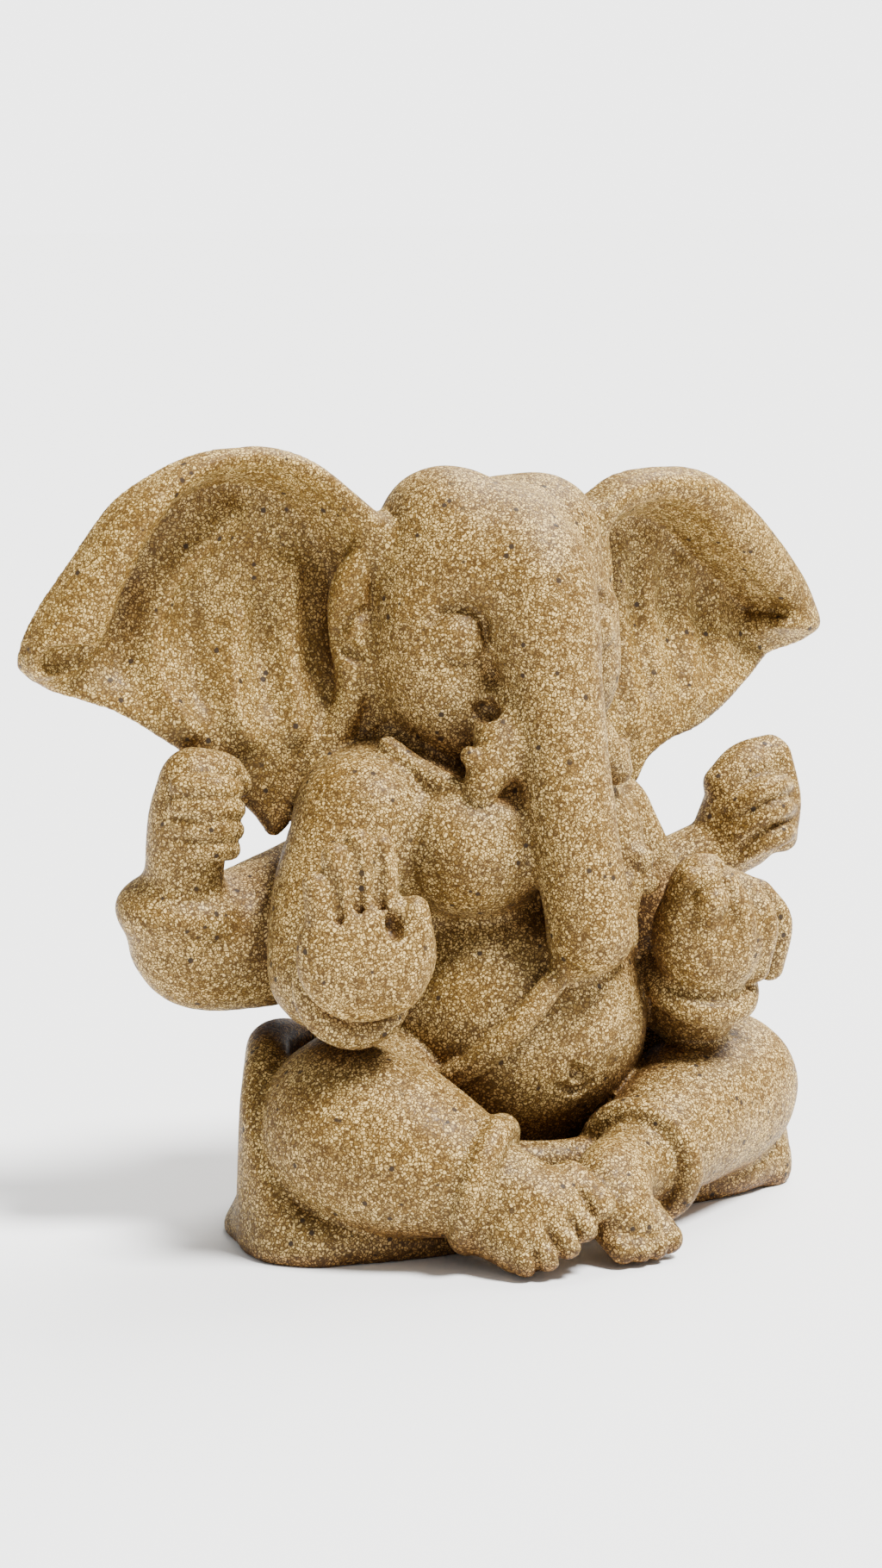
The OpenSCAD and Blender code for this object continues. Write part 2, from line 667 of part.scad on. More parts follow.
// Closed hand lifted on a bent wrist: three fingers curled towards the middle, the first one raised
module rear_right_hand_form() {
    w = rear_right_wrist;
    roll([add(w, [0, 0, -1], wrist_r + 0.4), add(w, [0.4, -1, 3], 3.6),
          add(w, [0.4, -1.8, 6.8], 3.7), add(w, [1.8, -1.2, 9.8], 3)]);
    roll([add(w, [1.8, -1.2, 9.8], 2.6), add(w, [4.6, -1.2, 11.4], finger_r),
          add(w, [5.4, -1, 10.6], finger_r - 0.2)], fine);
    for (i = [0:2])
        roll([add(w, [-0.4, -3.6, 4.4 + 2.4*i], finger_r), add(w, [2.2, -5, 4.4 + 2.4*i], finger_r),
              add(w, [3.6, -3.4, 4.6 + 2.4*i], finger_r - 0.1)], fine);
    roll([add(w, [-1, -3, 2.4], 1.8), add(w, [2, -4.4, 2.6], 1.5)], fine);
}

module rear_left_hand_form() {
    w = rear_left_wrist;
    roll([add(w, [0, 0, 0], wrist_r - 0.2), add(w, [4.4, -0.8, 1.4], 3.6), add(w, [6, -1.4, 4.6], 4.2),
          add(w, [7, -1, 8.6], 2.8), add(w, [8, -0.6, 10.2], finger_r + 0.1)]);
    for (i = [0:2])
        roll([add(w, [3.6, -3.4, 3.2 + 2.3*i], finger_r), add(w, [6.4, -5.2, 3.4 + 2.3*i], finger_r + 0.05),
              add(w, [9, -3.6, 3.6 + 2.3*i], finger_r)], fine);
    lump([add(w, [9, -2, 3.4], 2.4), add(w, [9.4, -1.6, 7], 2.2)]);
}

// Cupped hand on the left knee, holding the sweet
module front_left_hand_form() {
    w = front_left_wrist;
    lump([add(w, [0, -1.6, 3], 4.4), add(w, [-0.6, -2.2, 6], 4.8), add(w, [1.8, -1.6, 6], 4.4)]);
    lump([add(w, [-2.2, -2, 9], 2.6), add(w, [0.4, -2, 9.4], 2.8)]);
    for (i = [0:3])
        roll([add(w, [3 + 1.5*i, -2.8 + 1.1*i, 10.2 - 1.2*i], finger_r),
              add(w, [4 + 1.5*i, -4.6 + 1.1*i, 7.4 - 0.8*i], finger_r),
              add(w, [3.4 + 1.2*i, -5 + 1.1*i, 5.4 - 0.6*i], finger_r - 0.2)], fine);
    roll([add(w, [-3.4, -2.4, 7], 2), add(w, [-3, -3.4, 10.4], finger_r + 0.1)], fine);
}

module sweet_form()
    lump([add(front_left_wrist, [0.4, -5.2, 8.4], sweet_r),
          add(front_left_wrist, [0, -3.8, 11.2], sweet_r - 1.5)]);

module front_right_hand() color(resin) {
    difference() {
        front_right_hand_form();
        front_right_arm_form();
        front_right_bracelet_form();
        right_leg_form();
        torso_form();
    }
    peg_front_right_hand();
}

module front_left_hand() color(resin) {
    difference() {
        front_left_hand_form();
        front_left_arm_form();
        front_left_bracelet_form();
        left_leg_form();
        trunk_form();
        torso_form();
    }
    peg_front_left_hand();
}

module rear_right_hand() color(resin) {
    difference() {
        rear_right_hand_form();
        rear_right_arm_form();
        rear_right_bracelet_form();
        ear_form(-1, right_outline);
    }
    peg_rear_right_hand();
}

module rear_left_hand() color(resin) {
    difference() {
        rear_left_hand_form();
        rear_left_arm_form();
        ear_form(1, left_outline);
    }
    peg_rear_left_hand();
}

module sweet() color("burlywood") difference() {
    sweet_form();
    front_left_hand_form();
    trunk_form();
}

seat_cloth();
torso();
waist_cloth();
sacred_thread();
necklace();
right_leg();
left_leg();
right_anklet();
left_anklet();
right_foot();
left_foot();
head();
trunk();
ear(-1, right_outline);  // right_ear
ear(1, left_outline);  // left_ear
tusk(-1);  // right_tusk
tusk(1);  // left_tusk
front_right_arm();
front_left_arm();
rear_right_arm();
rear_left_arm();
front_right_bracelet();
front_left_bracelet();
rear_right_bracelet();
front_right_hand();
front_left_hand();
rear_right_hand();
rear_left_hand();
sweet();
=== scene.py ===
import math
import bpy
import numpy as np
import openvdb
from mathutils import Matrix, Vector


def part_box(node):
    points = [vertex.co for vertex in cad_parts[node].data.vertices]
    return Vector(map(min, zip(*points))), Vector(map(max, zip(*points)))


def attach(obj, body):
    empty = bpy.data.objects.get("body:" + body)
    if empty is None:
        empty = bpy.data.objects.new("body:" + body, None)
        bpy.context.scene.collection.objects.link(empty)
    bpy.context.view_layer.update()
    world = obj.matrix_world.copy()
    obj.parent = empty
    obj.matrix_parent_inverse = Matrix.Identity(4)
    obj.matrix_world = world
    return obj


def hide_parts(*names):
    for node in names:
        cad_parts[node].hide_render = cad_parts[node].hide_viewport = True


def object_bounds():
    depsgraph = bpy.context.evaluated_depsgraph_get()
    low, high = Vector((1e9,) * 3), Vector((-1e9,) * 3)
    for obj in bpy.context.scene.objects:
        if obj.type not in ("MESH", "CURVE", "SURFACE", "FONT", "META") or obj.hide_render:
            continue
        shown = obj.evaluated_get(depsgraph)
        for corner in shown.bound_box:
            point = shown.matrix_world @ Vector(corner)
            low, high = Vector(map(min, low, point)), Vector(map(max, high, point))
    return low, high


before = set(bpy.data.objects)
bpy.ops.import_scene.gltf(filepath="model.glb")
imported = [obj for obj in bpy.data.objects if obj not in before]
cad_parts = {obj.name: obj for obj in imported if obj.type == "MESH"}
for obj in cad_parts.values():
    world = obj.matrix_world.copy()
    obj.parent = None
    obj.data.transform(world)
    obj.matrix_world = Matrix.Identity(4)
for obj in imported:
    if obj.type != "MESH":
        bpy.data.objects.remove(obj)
for name in ("Cube", "Light", "Camera"):  # what an empty Blender file starts with
    if name in bpy.data.objects:
        bpy.data.objects.remove(bpy.data.objects[name])
cad_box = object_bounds()


# ---- Seat cloth ----
# The cloth that the figure sits on, rolled up round the hips and knees and flat below.
# It is sand-filled resin, like every member, cast from a figure that a hand modelled in
# clay. Each member is modelled that way here, and added with a fillet to one figure.
MM = 0.001
VOXEL = 0.3  # spacing of the clay's samples, mm
FAR = 9.0                            # distance kept where there is no clay near, mm
margin = 4 * VOXEL
corner = np.array(cad_box[0]) / MM - margin
counts = np.ceil((np.array(cad_box[1]) / MM + margin - corner) / VOXEL).astype(int) + 1
figure = np.full(counts, FAR, np.float32)


def middle(node):
    """The middle of a CAD node's box, in mm."""
    low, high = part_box(node)
    return (np.array(low) + np.array(high)) / 2 / MM


def smooth_min(a, b, blend):
    """The nearer of two surfaces, with a fillet where they meet."""
    gap = np.maximum(blend - np.abs(a - b), 0)
    return np.minimum(a, b) - gap * gap / (4 * blend)


def hand_unevenness(step, height, seed):
    """A soft random swell over the whole figure, as hands leave on clay."""
    dice = np.random.default_rng(seed)
    coarse = np.ceil(counts * VOXEL / step).astype(int) + 2
    field = dice.uniform(-height, height, coarse)
    for axis in range(3):
        at = np.arange(counts[axis]) * VOXEL / step
        cell = at.astype(int)
        share = at - cell
        share = share * share * (3 - 2 * share)
        shape = [1, 1, 1]
        shape[axis] = -1
        share = share.reshape(shape)
        field = field.take(cell, axis) * (1 - share) + field.take(cell + 1, axis) * share
    return field.astype(np.float32)


unevenness = hand_unevenness(7, 0.16, 3) + hand_unevenness(2.2, 0.05, 4)


class Clay:
    """Clay round a CAD node: the distance to its surface at each sample, negative inside."""

    def __init__(self, node, room=6.0):
        low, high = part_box(node)
        first = np.floor((np.array(low) / MM - room - corner) / VOXEL).astype(int)
        last = np.ceil((np.array(high) / MM + room - corner) / VOXEL).astype(int) + 1
        first, last = np.clip(first, 0, counts), np.clip(last, 0, counts)
        self.first = first
        self.where = tuple(slice(a, b) for a, b in zip(first, last))
        self.axes = [corner[k] + VOXEL * np.arange(first[k], last[k]) for k in range(3)]
        self.depth = np.full(last - first, FAR, np.float32)

    def window(self, low, high):
        """Slices of the samples between two corners, and their coordinates."""
        cut = tuple(slice(*np.searchsorted(self.axes[k], (low[k], high[k]))) for k in range(3))
        grid = np.ix_(*(self.axes[k][cut[k]] for k in range(3)))
        return cut, grid

    def press(self, cut, tool, blend, carve):
        """Adds a shape to the clay, or carves it away."""
        old = self.depth[cut]
        self.depth[cut] = -smooth_min(-old, tool, blend) if carve else smooth_min(old, tool, blend)


def curve_through(points, steps, closed=False):
    """A smooth line through rows of numbers."""
    rows = np.array(points, float)
    if len(rows) < 3:
        return rows
    if closed:
        rows = np.vstack([rows[-1], rows, rows[:2]])
    else:
        rows = np.vstack([2 * rows[0] - rows[1], rows, 2 * rows[-1] - rows[-2]])
    line = []
    for a, b, c, d in zip(rows, rows[1:], rows[2:], rows[3:]):
        for t in np.arange(steps) / steps:
            line.append((2 * b + (c - a) * t + (2 * a - 5 * b + 4 * c - d) * t**2
                         + (3 * b - a - 3 * c + d) * t**3) / 2)
    if not closed:
        line.append(rows[-2])
    return np.array(line)


def roll(clay, hub, points, blend=0.8, carve=False, steps=5, closed=False):
    """Rolled clay along a smooth line of (x, y, z, radius), offsets from the hub in mm."""
    line = curve_through(points, steps, closed)
    line[:, 3] = np.maximum(line[:, 3], 0.15)
    line[:, :3] += hub
    if closed:
        line = np.vstack([line, line[:1]])
    reach = blend + 2.2
    widest = line[:, 3].max() + reach
    low, high = line[:, :3].min(0) - widest, line[:, :3].max(0) + widest
    cut, _ = clay.window(low, high)
    tool = np.full(clay.depth[cut].shape, FAR, np.float32)
    base = [c.start for c in cut]
    ends = zip(line[:-1], line[1:]) if len(line) > 1 else [(line[0], line[0])]
    for a, b in ends:
        r = max(a[3], b[3]) + reach
        part, (x, y, z) = clay.window(np.minimum(a, b)[:3] - r, np.maximum(a, b)[:3] + r)
        inner = tuple(slice(p.start - s, p.stop - s) for p, s in zip(part, base))
        step = b[:3] - a[:3]
        length = max(step @ step, 1e-9)
        share = ((x - a[0]) * step[0] + (y - a[1]) * step[1] + (z - a[2]) * step[2]) / length
        share = np.clip(share, 0, 1)
        away = np.sqrt((x - a[0] - share * step[0])**2 + (y - a[1] - share * step[1])**2
                       + (z - a[2] - share * step[2])**2) - (a[3] + share * (b[3] - a[3]))
        tool[inner] = np.minimum(tool[inner], away)
    clay.press(cut, tool, blend, carve)


def pat(clay, hub, centre, radii, turn=(0, 0, 0), blend=0.8, carve=False):
    """A flattened ball of clay: centre and radii in mm, turned by degrees about x, y, z."""
    centre = np.array(centre, float) + hub
    radii = np.array(radii, float)
    reach = radii.max() + blend + 2.2
    cut, (x, y, z) = clay.window(centre - reach, centre + reach)
    offset = [x - centre[0], y - centre[1], z - centre[2]]
    for axis, angle in enumerate(turn):
        if angle:
            s, c = math.sin(math.radians(angle)), math.cos(math.radians(angle))
            i, j = (axis + 1) % 3, (axis + 2) % 3
            offset[i], offset[j] = c * offset[i] + s * offset[j], c * offset[j] - s * offset[i]
    k0 = np.sqrt(sum((o / r)**2 for o, r in zip(offset, radii)))
    k1 = np.sqrt(sum((o / r**2)**2 for o, r in zip(offset, radii))) + 1e-6
    clay.press(cut, (k0 * (k0 - 1) / k1).astype(np.float32), blend, carve)


def cast(clay, node, slot, blend=0.8, sink=0.8):
    """Joins the clay to the figure with a fillet, and casts the piece that it adds."""
    fillet_spread = 0.25  # how far a piece's fillet runs beyond its blend, mm
    old = figure[clay.where]
    own = clay.depth + unevenness[clay.where]
    fused = smooth_min(old, own, blend)
    piece = np.maximum(fused, -(old + sink))
    piece = np.maximum(piece, own - blend - fillet_spread)
    z = clay.axes[2].reshape(1, 1, -1)
    piece = np.maximum(piece, -z).astype(np.float32)
    figure[clay.where] = fused
    grid = openvdb.FloatGrid(FAR)
    grid.copyFromArray(np.ascontiguousarray(piece))
    points, quads = grid.convertToQuads(isovalue=0)
    points = (points + clay.first) * VOXEL + corner
    mesh = bpy.data.meshes.new(node + "_skin")
    mesh.from_pydata((points * MM).tolist(), [], quads.tolist())
    mesh.polygons.foreach_set("use_smooth", np.ones(len(mesh.polygons), bool))
    mesh.update()
    skin = bpy.data.objects.new(node + "_skin", mesh)
    bpy.context.collection.objects.link(skin)
    mesh.materials.append(resins[slot])
    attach(skin, "root")
    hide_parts(node)


def node_group(name, inputs, outputs):
    """A shader node group with named sockets: (name, kind, default) for each input."""
    group = bpy.data.node_groups.new(name, "ShaderNodeTree")
    for label, kind, default in inputs:
        socket = group.interface.new_socket(label, in_out="INPUT", socket_type="NodeSocket" + kind)
        socket.default_value = default
    for label, kind in outputs:
        group.interface.new_socket(label, in_out="OUTPUT", socket_type="NodeSocket" + kind)
    return group, group.nodes.new("NodeGroupInput"), group.nodes.new("NodeGroupOutput")


def add_node(tree, kind, links=(), **settings):
    """A node with its settings, and links given as (input name or number, socket or value)."""
    node = tree.nodes.new("ShaderNode" + kind)
    for key, value in settings.items():
        setattr(node, key, value)
    for key, source in links:
        if isinstance(source, bpy.types.NodeSocket):
            tree.links.new(source, node.inputs[key])
        else:
            node.inputs[key].default_value = source
    return node


def ramp(tree, value, low, high):
    """Goes from 0 to 1 as the value goes from low to high."""
    links = [("Value", value), ("From Min", low), ("From Max", high)]
    return add_node(tree, "MapRange", links, interpolation_type="SMOOTHSTEP").outputs["Result"]


def mixed(tree, share, a, b):
    """Colour a turning to colour b as the share goes from 0 to 1."""
    factor, first, second, result = 0, 6, 7, 2  # the sockets that a colour mix uses
    links = [(factor, share), (first, a), (second, b)]
    return add_node(tree, "Mix", links, data_type="RGBA").outputs[result]


def calculated(tree, operation, a, b, kind="Math"):
    """Two values or vectors added, multiplied and so on."""
    return add_node(tree, kind, [(0, a), (1, b)], operation=operation).outputs[0]


# Sand grains set in clear amber resin: pale and brown grains, the dark resin between
# them, odd black specks, and slow drifts of tone through the casting.
grains, given, made = node_group(
    "sand_grains",
    [("Grain Scale", "Float", 3500.0), ("Pale Grain", "Color", (0.8, 0.62, 0.36, 1)),
     ("Brown Grain", "Color", (0.36, 0.22, 0.09, 1)), ("Resin", "Color", (0.2, 0.11, 0.035, 1)),
     ("Specks", "Float", 1.0)],
    [("Color", "Color"), ("Roughness", "Float"), ("Height", "Float")])
place = add_node(grains, "TexCoord").outputs["Object"]
wobble = add_node(grains, "TexNoise", [("Vector", place), ("Scale", 1500.0), ("Detail", 1.0)])
bend = calculated(grains, "ADD", wobble.outputs["Color"], (-0.5, -0.5, -0.5), "VectorMath")
bend = calculated(grains, "MULTIPLY", bend, (0.0005, 0.0005, 0.0005), "VectorMath")
bent = calculated(grains, "ADD", place, bend, "VectorMath")
size = given.outputs["Grain Scale"]
cells = add_node(grains, "TexVoronoi", [("Vector", bent), ("Scale", size)])
edges = add_node(grains, "TexVoronoi", [("Vector", bent), ("Scale", size)], feature="DISTANCE_TO_EDGE")
dice = add_node(grains, "SeparateColor", [("Color", cells.outputs["Color"])])
drift = add_node(grains, "TexNoise", [("Vector", place), ("Scale", 170.0), ("Detail", 3.0)]).outputs["Fac"]
clump = add_node(grains, "TexNoise", [("Vector", place), ("Scale", 900.0), ("Detail", 3.0)]).outputs["Fac"]
tone = calculated(grains, "ADD", dice.outputs["Red"], clump)
brownness = ramp(grains, calculated(grains, "ADD", tone, drift), 1.0, 2.05)
colour = mixed(grains, brownness, given.outputs["Pale Grain"], given.outputs["Brown Grain"])
gap = ramp(grains, edges.outputs["Distance"], 0.24, 0.04)
colour = mixed(grains, gap, colour, given.outputs["Resin"])
dots = add_node(grains, "TexVoronoi", [("Vector", place), ("Scale", 950.0)])
rare = add_node(grains, "SeparateColor", [("Color", dots.outputs["Color"])])
speck = calculated(grains, "MULTIPLY", ramp(grains, rare.outputs["Green"], 0.86, 0.9),
                   ramp(grains, dots.outputs["Distance"], 0.3, 0.2))
speck = calculated(grains, "MULTIPLY", speck, given.outputs["Specks"])
grains.links.new(mixed(grains, speck, colour, (0.035, 0.022, 0.012, 1)), made.inputs["Color"])
rough = add_node(grains, "MapRange", [("Value", dice.outputs["Blue"]), ("To Min", 0.42), ("To Max", 0.68)])
grains.links.new(rough.outputs["Result"], made.inputs["Roughness"])
dome = ramp(grains, edges.outputs["Distance"], 0.0, 0.3)
grains.links.new(calculated(grains, "MULTIPLY_ADD", dome, dice.outputs["Green"]), made.inputs["Height"])

# Painted shade and painted light: the colour is darkened in creases, where ambient occlusion finds the
# surface hidden, and made paler on open, high places.
painted_shade_and_light, given, made = node_group(
    "painted_shade_and_light",
    [("Color", "Color", (0.5, 0.4, 0.2, 1)), ("Painted Shade Tint", "Color", (0.3, 0.18, 0.07, 1)),
     ("Painted Light Tint", "Color", (1.1, 1.06, 0.95, 1)), ("Reach", "Float", 0.006), ("Strength", "Float", 0.8)],
    [("Color", "Color")])
open_sky = add_node(painted_shade_and_light, "AmbientOcclusion", [("Distance", given.outputs["Reach"])], samples=8)
# Painted shade: darker where ambient occlusion finds the surface hidden
painted_shade_share = ramp(painted_shade_and_light, open_sky.outputs["AO"], 0.85, 0.3)
painted_shade_share = calculated(painted_shade_and_light, "MULTIPLY", painted_shade_share, given.outputs["Strength"])
plain = given.outputs["Color"]
painted_shade_colour = calculated(painted_shade_and_light, "MULTIPLY", plain, given.outputs["Painted Shade Tint"], "VectorMath")
painted_light_colour = calculated(painted_shade_and_light, "MULTIPLY", plain, given.outputs["Painted Light Tint"], "VectorMath")
# Painted light: paler where ambient occlusion finds the surface open
high = ramp(painted_shade_and_light, open_sky.outputs["AO"], 0.86, 0.99)
with_painted_light = mixed(painted_shade_and_light, high, plain, painted_light_colour)
painted_shade_and_light.links.new(mixed(painted_shade_and_light, painted_shade_share, with_painted_light, painted_shade_colour), made.inputs["Color"])


def sand_cast(name, pale, brown, resin, crease, glow, depth):
    """The finish of a sand-filled resin casting; glow is how much light soaks in, and crease is the colour
    of the painted shade in creases.
    """
    material = bpy.data.materials.new(name)
    material.use_nodes = True
    tree = material.node_tree
    shader = tree.nodes["Principled BSDF"]
    sand = add_node(tree, "Group", node_tree=grains)
    sand.inputs["Pale Grain"].default_value = pale
    sand.inputs["Brown Grain"].default_value = brown
    sand.inputs["Resin"].default_value = resin
    # Painted shade in the creases and painted light on open places, over the grain colour
    shade_and_light_node = add_node(tree, "Group", [("Color", sand.outputs["Color"])], node_tree=painted_shade_and_light)
    shade_and_light_node.inputs["Painted Shade Tint"].default_value = crease
    tree.links.new(shade_and_light_node.outputs["Color"], shader.inputs["Base Color"])
    tree.links.new(sand.outputs["Roughness"], shader.inputs["Roughness"])
    relief = [("Height", sand.outputs["Height"]), ("Strength", 0.5), ("Distance", 0.00006)]
    bump = add_node(tree, "Bump", relief)
    tree.links.new(bump.outputs["Normal"], shader.inputs["Normal"])
    shader.inputs["Specular IOR Level"].default_value = 0.16
    shader.inputs["Subsurface Weight"].default_value = glow
    shader.inputs["Subsurface Radius"].default_value = (1.0, 0.55, 0.2)
    shader.inputs["Subsurface Scale"].default_value = depth
    return material


# crease is the colour of the painted shade in creases
resins = {"sand_resin": sand_cast(
    "cast_sand", pale=(0.68, 0.485, 0.19, 1), brown=(0.18, 0.105, 0.025, 1), resin=(0.07, 0.036, 0.008, 1),
    crease=(0.38, 0.23, 0.12, 1), glow=0.08, depth=0.0005)}

hub = middle("seat_cloth") * (1, 1, 0)
clay = Clay("seat_cloth")
rim = curve_through([
    (-24.0, -12.0, 3.0), (-26.1, -10.2, 5.0), (-26.3, -7.4, 9.4), (-25.6, -4.6, 13.6),
    (-23.4, -1.2, 16.6), (-20.4, 4.0, 17.4), (-15, 8.6, 16.2), (-7, 10.2, 13.4), (1, 10.5, 12),
    (9, 10.0, 11.6), (17, 8.8, 11), (24, 5.2, 10), (27.2, 1.0, 8.8), (27.8, -3.2, 6.6),
    (25.2, -7.2, 4.0)], 6)
rim = rim - [hub[0], hub[1], 0]
for x, y, top in rim:
    roll(clay, hub, [(x, y, 1.2, 2.4), (x, y, max(top - 1.6, 1.6), 1.9)], 0.5)
roll(clay, hub, [(-25.4, -11.7, 1.9, 2.5), (-19.2, -13.3, 1.5, 2.3), (-14.2, -14.1, 1.3, 1.9),
                 (-7.2, -11.5, 1.2, 2.0)], 1.2)
roll(clay, hub, [(-7.2, -11.5, 1.2, 2), (2.8, -9.9, 1.3, 2), (11.8, -9.3, 1.6, 2), (18.8, -9.3, 2, 2.1),
                 (24.2, -6.7, 2.4, 2.3)], 1.2)
pat(clay, hub, (-1.2, -0.5, 0.6), (27, 11.5, 4.6), blend=2)
cast(clay, "seat_cloth", "sand_resin")


# ---- Torso ----
# The body: a round belly with a navel, a soft chest, sloping shoulders and the neck.
# It is the middle of the one-piece casting, and everything else grows out of it.
def crease(clay, hub, points, blend=0.4):
    """A groove pressed into the front of the clay, through rows of (x, z, radius)."""
    path = []
    for x, z, radius in curve_through(points, 4):
        i = int(round((x + hub[0] - clay.axes[0][0]) / VOXEL))
        k = int(round((z + hub[2] - clay.axes[2][0]) / VOXEL))
        inside = np.flatnonzero(clay.depth[i, :, k] < 0)
        path.append((x, clay.axes[1][inside[0]] - hub[1], z, radius))
    roll(clay, hub, path, blend, carve=True, steps=2)


hub = middle("torso")
clay = Clay("torso")
pat(clay, hub, (1.4, -1, -7.5), (13.0, 12.8, 12.6), blend=1)
pat(clay, hub, (1.4, 2, -13.1), (13.4, 11.6, 10.4), blend=2)
roll(clay, hub, [(1, 3.4, -3.1, 11), (0.4, 4, 4.9, 9.6), (0, 4, 10.9, 7)], 3)
roll(clay, hub, [(-12.8, -0.6, 11.3, 6.2), (-5, 2.4, 11.9, 7), (4, 2.6, 10.9, 6.6), (11.4, 0, 9.3, 4.8)], 2)
roll(clay, hub, [(-11.6, 0, 7.9, 6.4), (-10, 3.4, 0.9, 7.4)], 2)
roll(clay, hub, [(11, 0, 4.9, 5.6), (11, 3.4, -1.1, 7)], 2)
roll(clay, hub, [(1, 2.6, 12.9, 7), (1, 2.2, 19.9, 6.6)], 2)
pat(clay, hub, (-4.8, -5.4, 8.9), (7.6, 6.4, 6.4), (0, 14, 0), blend=1.4)
pat(clay, hub, (5.8, -5.2, 8.3), (6.6, 6.2, 6.2), (0, -10, 0), blend=1.4)
roll(clay, hub, [(-11.4, -8.6, 5.3, 0.7), (-5.8, -11.6, 3.5, 0.9), (0, -11.2, 4.3, 0.9)], 1.0, carve=True)
crease(clay, hub, [(1.1, -10.2, 0.4), (1.7, -10.9, 0.75), (2.2, -11.4, 0.4)])
crease(clay, hub, [(-0.2, -11.7, 0.2), (1.7, -12.5, 0.4), (3.6, -11.8, 0.2)])
cast(clay, "torso", "sand_resin")

# ---- Waist cloth ----
# The folded waist cloth under the belly, tucked between the two crossed legs.
# A low roll of clay in the figure, cast with it.
hub = middle("waist_cloth")
clay = Clay("waist_cloth")
roll(clay, hub, [(-13.7, 5, -0.2, 1.8), (-9.7, -1.6, -1.8, 1.9), (-4, -4.8, -2.4, 1.9),
                 (1.9, -5.4, -2.4, 1.9), (8, -3.4, -2, 1.9), (12.9, 3, -0.6, 1.8)], 0.8)
roll(clay, hub, [(-9.1, -2, -4.6, 2.2), (-0.1, -4.4, -5.6, 2.4), (8.9, -2, -4.8, 2.2)], 1.2)
cast(clay, "waist_cloth", "sand_resin")

# ---- Sacred thread ----
# The thread worn over the belly: one thin raised cord from the trunk down to the
# figure's right hip, cast with the belly that it lies on.
hub = middle("sacred_thread")
clay = Clay("sacred_thread")
roll(clay, hub, [(8.5, -0.7, 6.5, 1.0), (4.5, -1, 5.7, 1.1), (0.9, -2.2, 4.3, 1.2),
                 (-2.3, -2.4, 1.3, 1.2), (-5.1, -1.2, -1.7, 1.2), (-7.5, 1, -4.1, 1.1),
                 (-9.3, 3.6, -5.5, 1.0)], 0.5)
cast(clay, "sacred_thread", "sand_resin", 0.5)

# ---- Legs ----
# Two folded legs, thick and soft, the right shin lying in front of the left.
# Each tapers from the knee to the ankle, where an anklet sits.
hub = middle("right_leg")
clay = Clay("right_leg")
roll(clay, hub, [(5.5, 8.1, 0.6, 7.8), (-2.5, 0.9, 0.2, 8.1), (-1.3, -4, -0.4, 7.7),
                 (1.5, -8.1, -1.6, 6.1), (4.3, -10.9, -3.1, 4.4), (5.7, -12.3, -3.7, 3.8)], 1)
cast(clay, "right_leg", "sand_resin", 0.4)

hub = middle("left_leg")
clay = Clay("left_leg")
roll(clay, hub, [(-3.1, 7.8, 0.4, 6.8), (6.9, 3.5, 0, 6.9), (5.1, 0.1, -0.6, 6.9), (0.3, -3.1, -0.8, 6.6),
                 (-5.3, -7.1, -1.6, 5.5), (-9.9, -10.3, -2.6, 4.0), (-11.9, -11.8, -2.8, 3.2)], 1)
cast(clay, "left_leg", "sand_resin", 0.4)


# ---- Anklets ----
# A plain round anklet on each ankle: a roll of clay pressed on, closed behind,
# and cast with the leg that it goes round.
def ring(clay, hub, centre, facing, radius, thickness, blend=0.5):
    """A closed roll of clay round a limb that runs in the facing direction."""
    facing = np.array(facing, float) / np.linalg.norm(facing)
    side = np.cross(facing, (0, 0, 1))
    side /= np.linalg.norm(side)
    rise = np.cross(side, facing)
    turn = np.radians(np.arange(0, 360, 20))
    points = [np.r_[centre + radius * (math.cos(a) * side + math.sin(a) * rise), thickness] for a in turn]
    roll(clay, hub, points, blend, steps=2, closed=True)


hub = middle("right_anklet")
clay = Clay("right_anklet")
ring(clay, hub, (-0.2, 0, 0.2), (4.2, -4, -1.6), 5.0, 1.35)
cast(clay, "right_anklet", "sand_resin", 0.35)

hub = middle("left_anklet")
clay = Clay("left_anklet")
ring(clay, hub, (0, -0.2, -0.1), (-4.2, -3.4, -0.4), 4.6, 1.35)
cast(clay, "left_anklet", "sand_resin", 0.35)

# ---- Feet ----
# The two bare feet in front, soles down and toes forward, the right foot highest.
# The toes are small rolls of clay, and on the right foot the gaps between them are pressed in.
hub = middle("right_foot")
clay = Clay("right_foot")
roll(clay, hub, [(-1, 2.1, 1, 3.8), (0.8, -0.1, 0.4, 3.6), (2, -1.5, -0.4, 3.0)], 1)
roll(clay, hub, [(-2, 1.1, -1.4, 3.0), (-1.4, -1.5, -2.4, 2.4)], 1.5)
roll(clay, hub, [(3.6, -1.3, 1, 2.0), (-0.4, -1.9, -2.2, 2.3)], 1.5)
for tip, wide in [((5.4, -3.1, 0.5), 1.6), ((3.6, -4.1, -1), 1.35), ((1.7, -4.4, -2.2), 1.3),
                  ((-0.1, -4.1, -3.1), 1.25), ((-1.7, -3.4, -3.6), 1.2)]:
    root = np.array(tip) + (-1.2, 2.4, 1.7)
    roll(clay, hub, [(*tip, wide), (*root, wide + 0.1)], 0.3)
for gap in ((3.6, 2), (1.8, 0.6), (-0.1, -0.6), (-1.9, -1.8)):
    crease(clay, hub, [(*gap, 0.25), (gap[0] + 0.5, gap[1] - 1.5, 0.35),
                       (gap[0] + 1.0, gap[1] - 3.0, 0.4)], 0.3)
cast(clay, "right_foot", "sand_resin", 0.7)

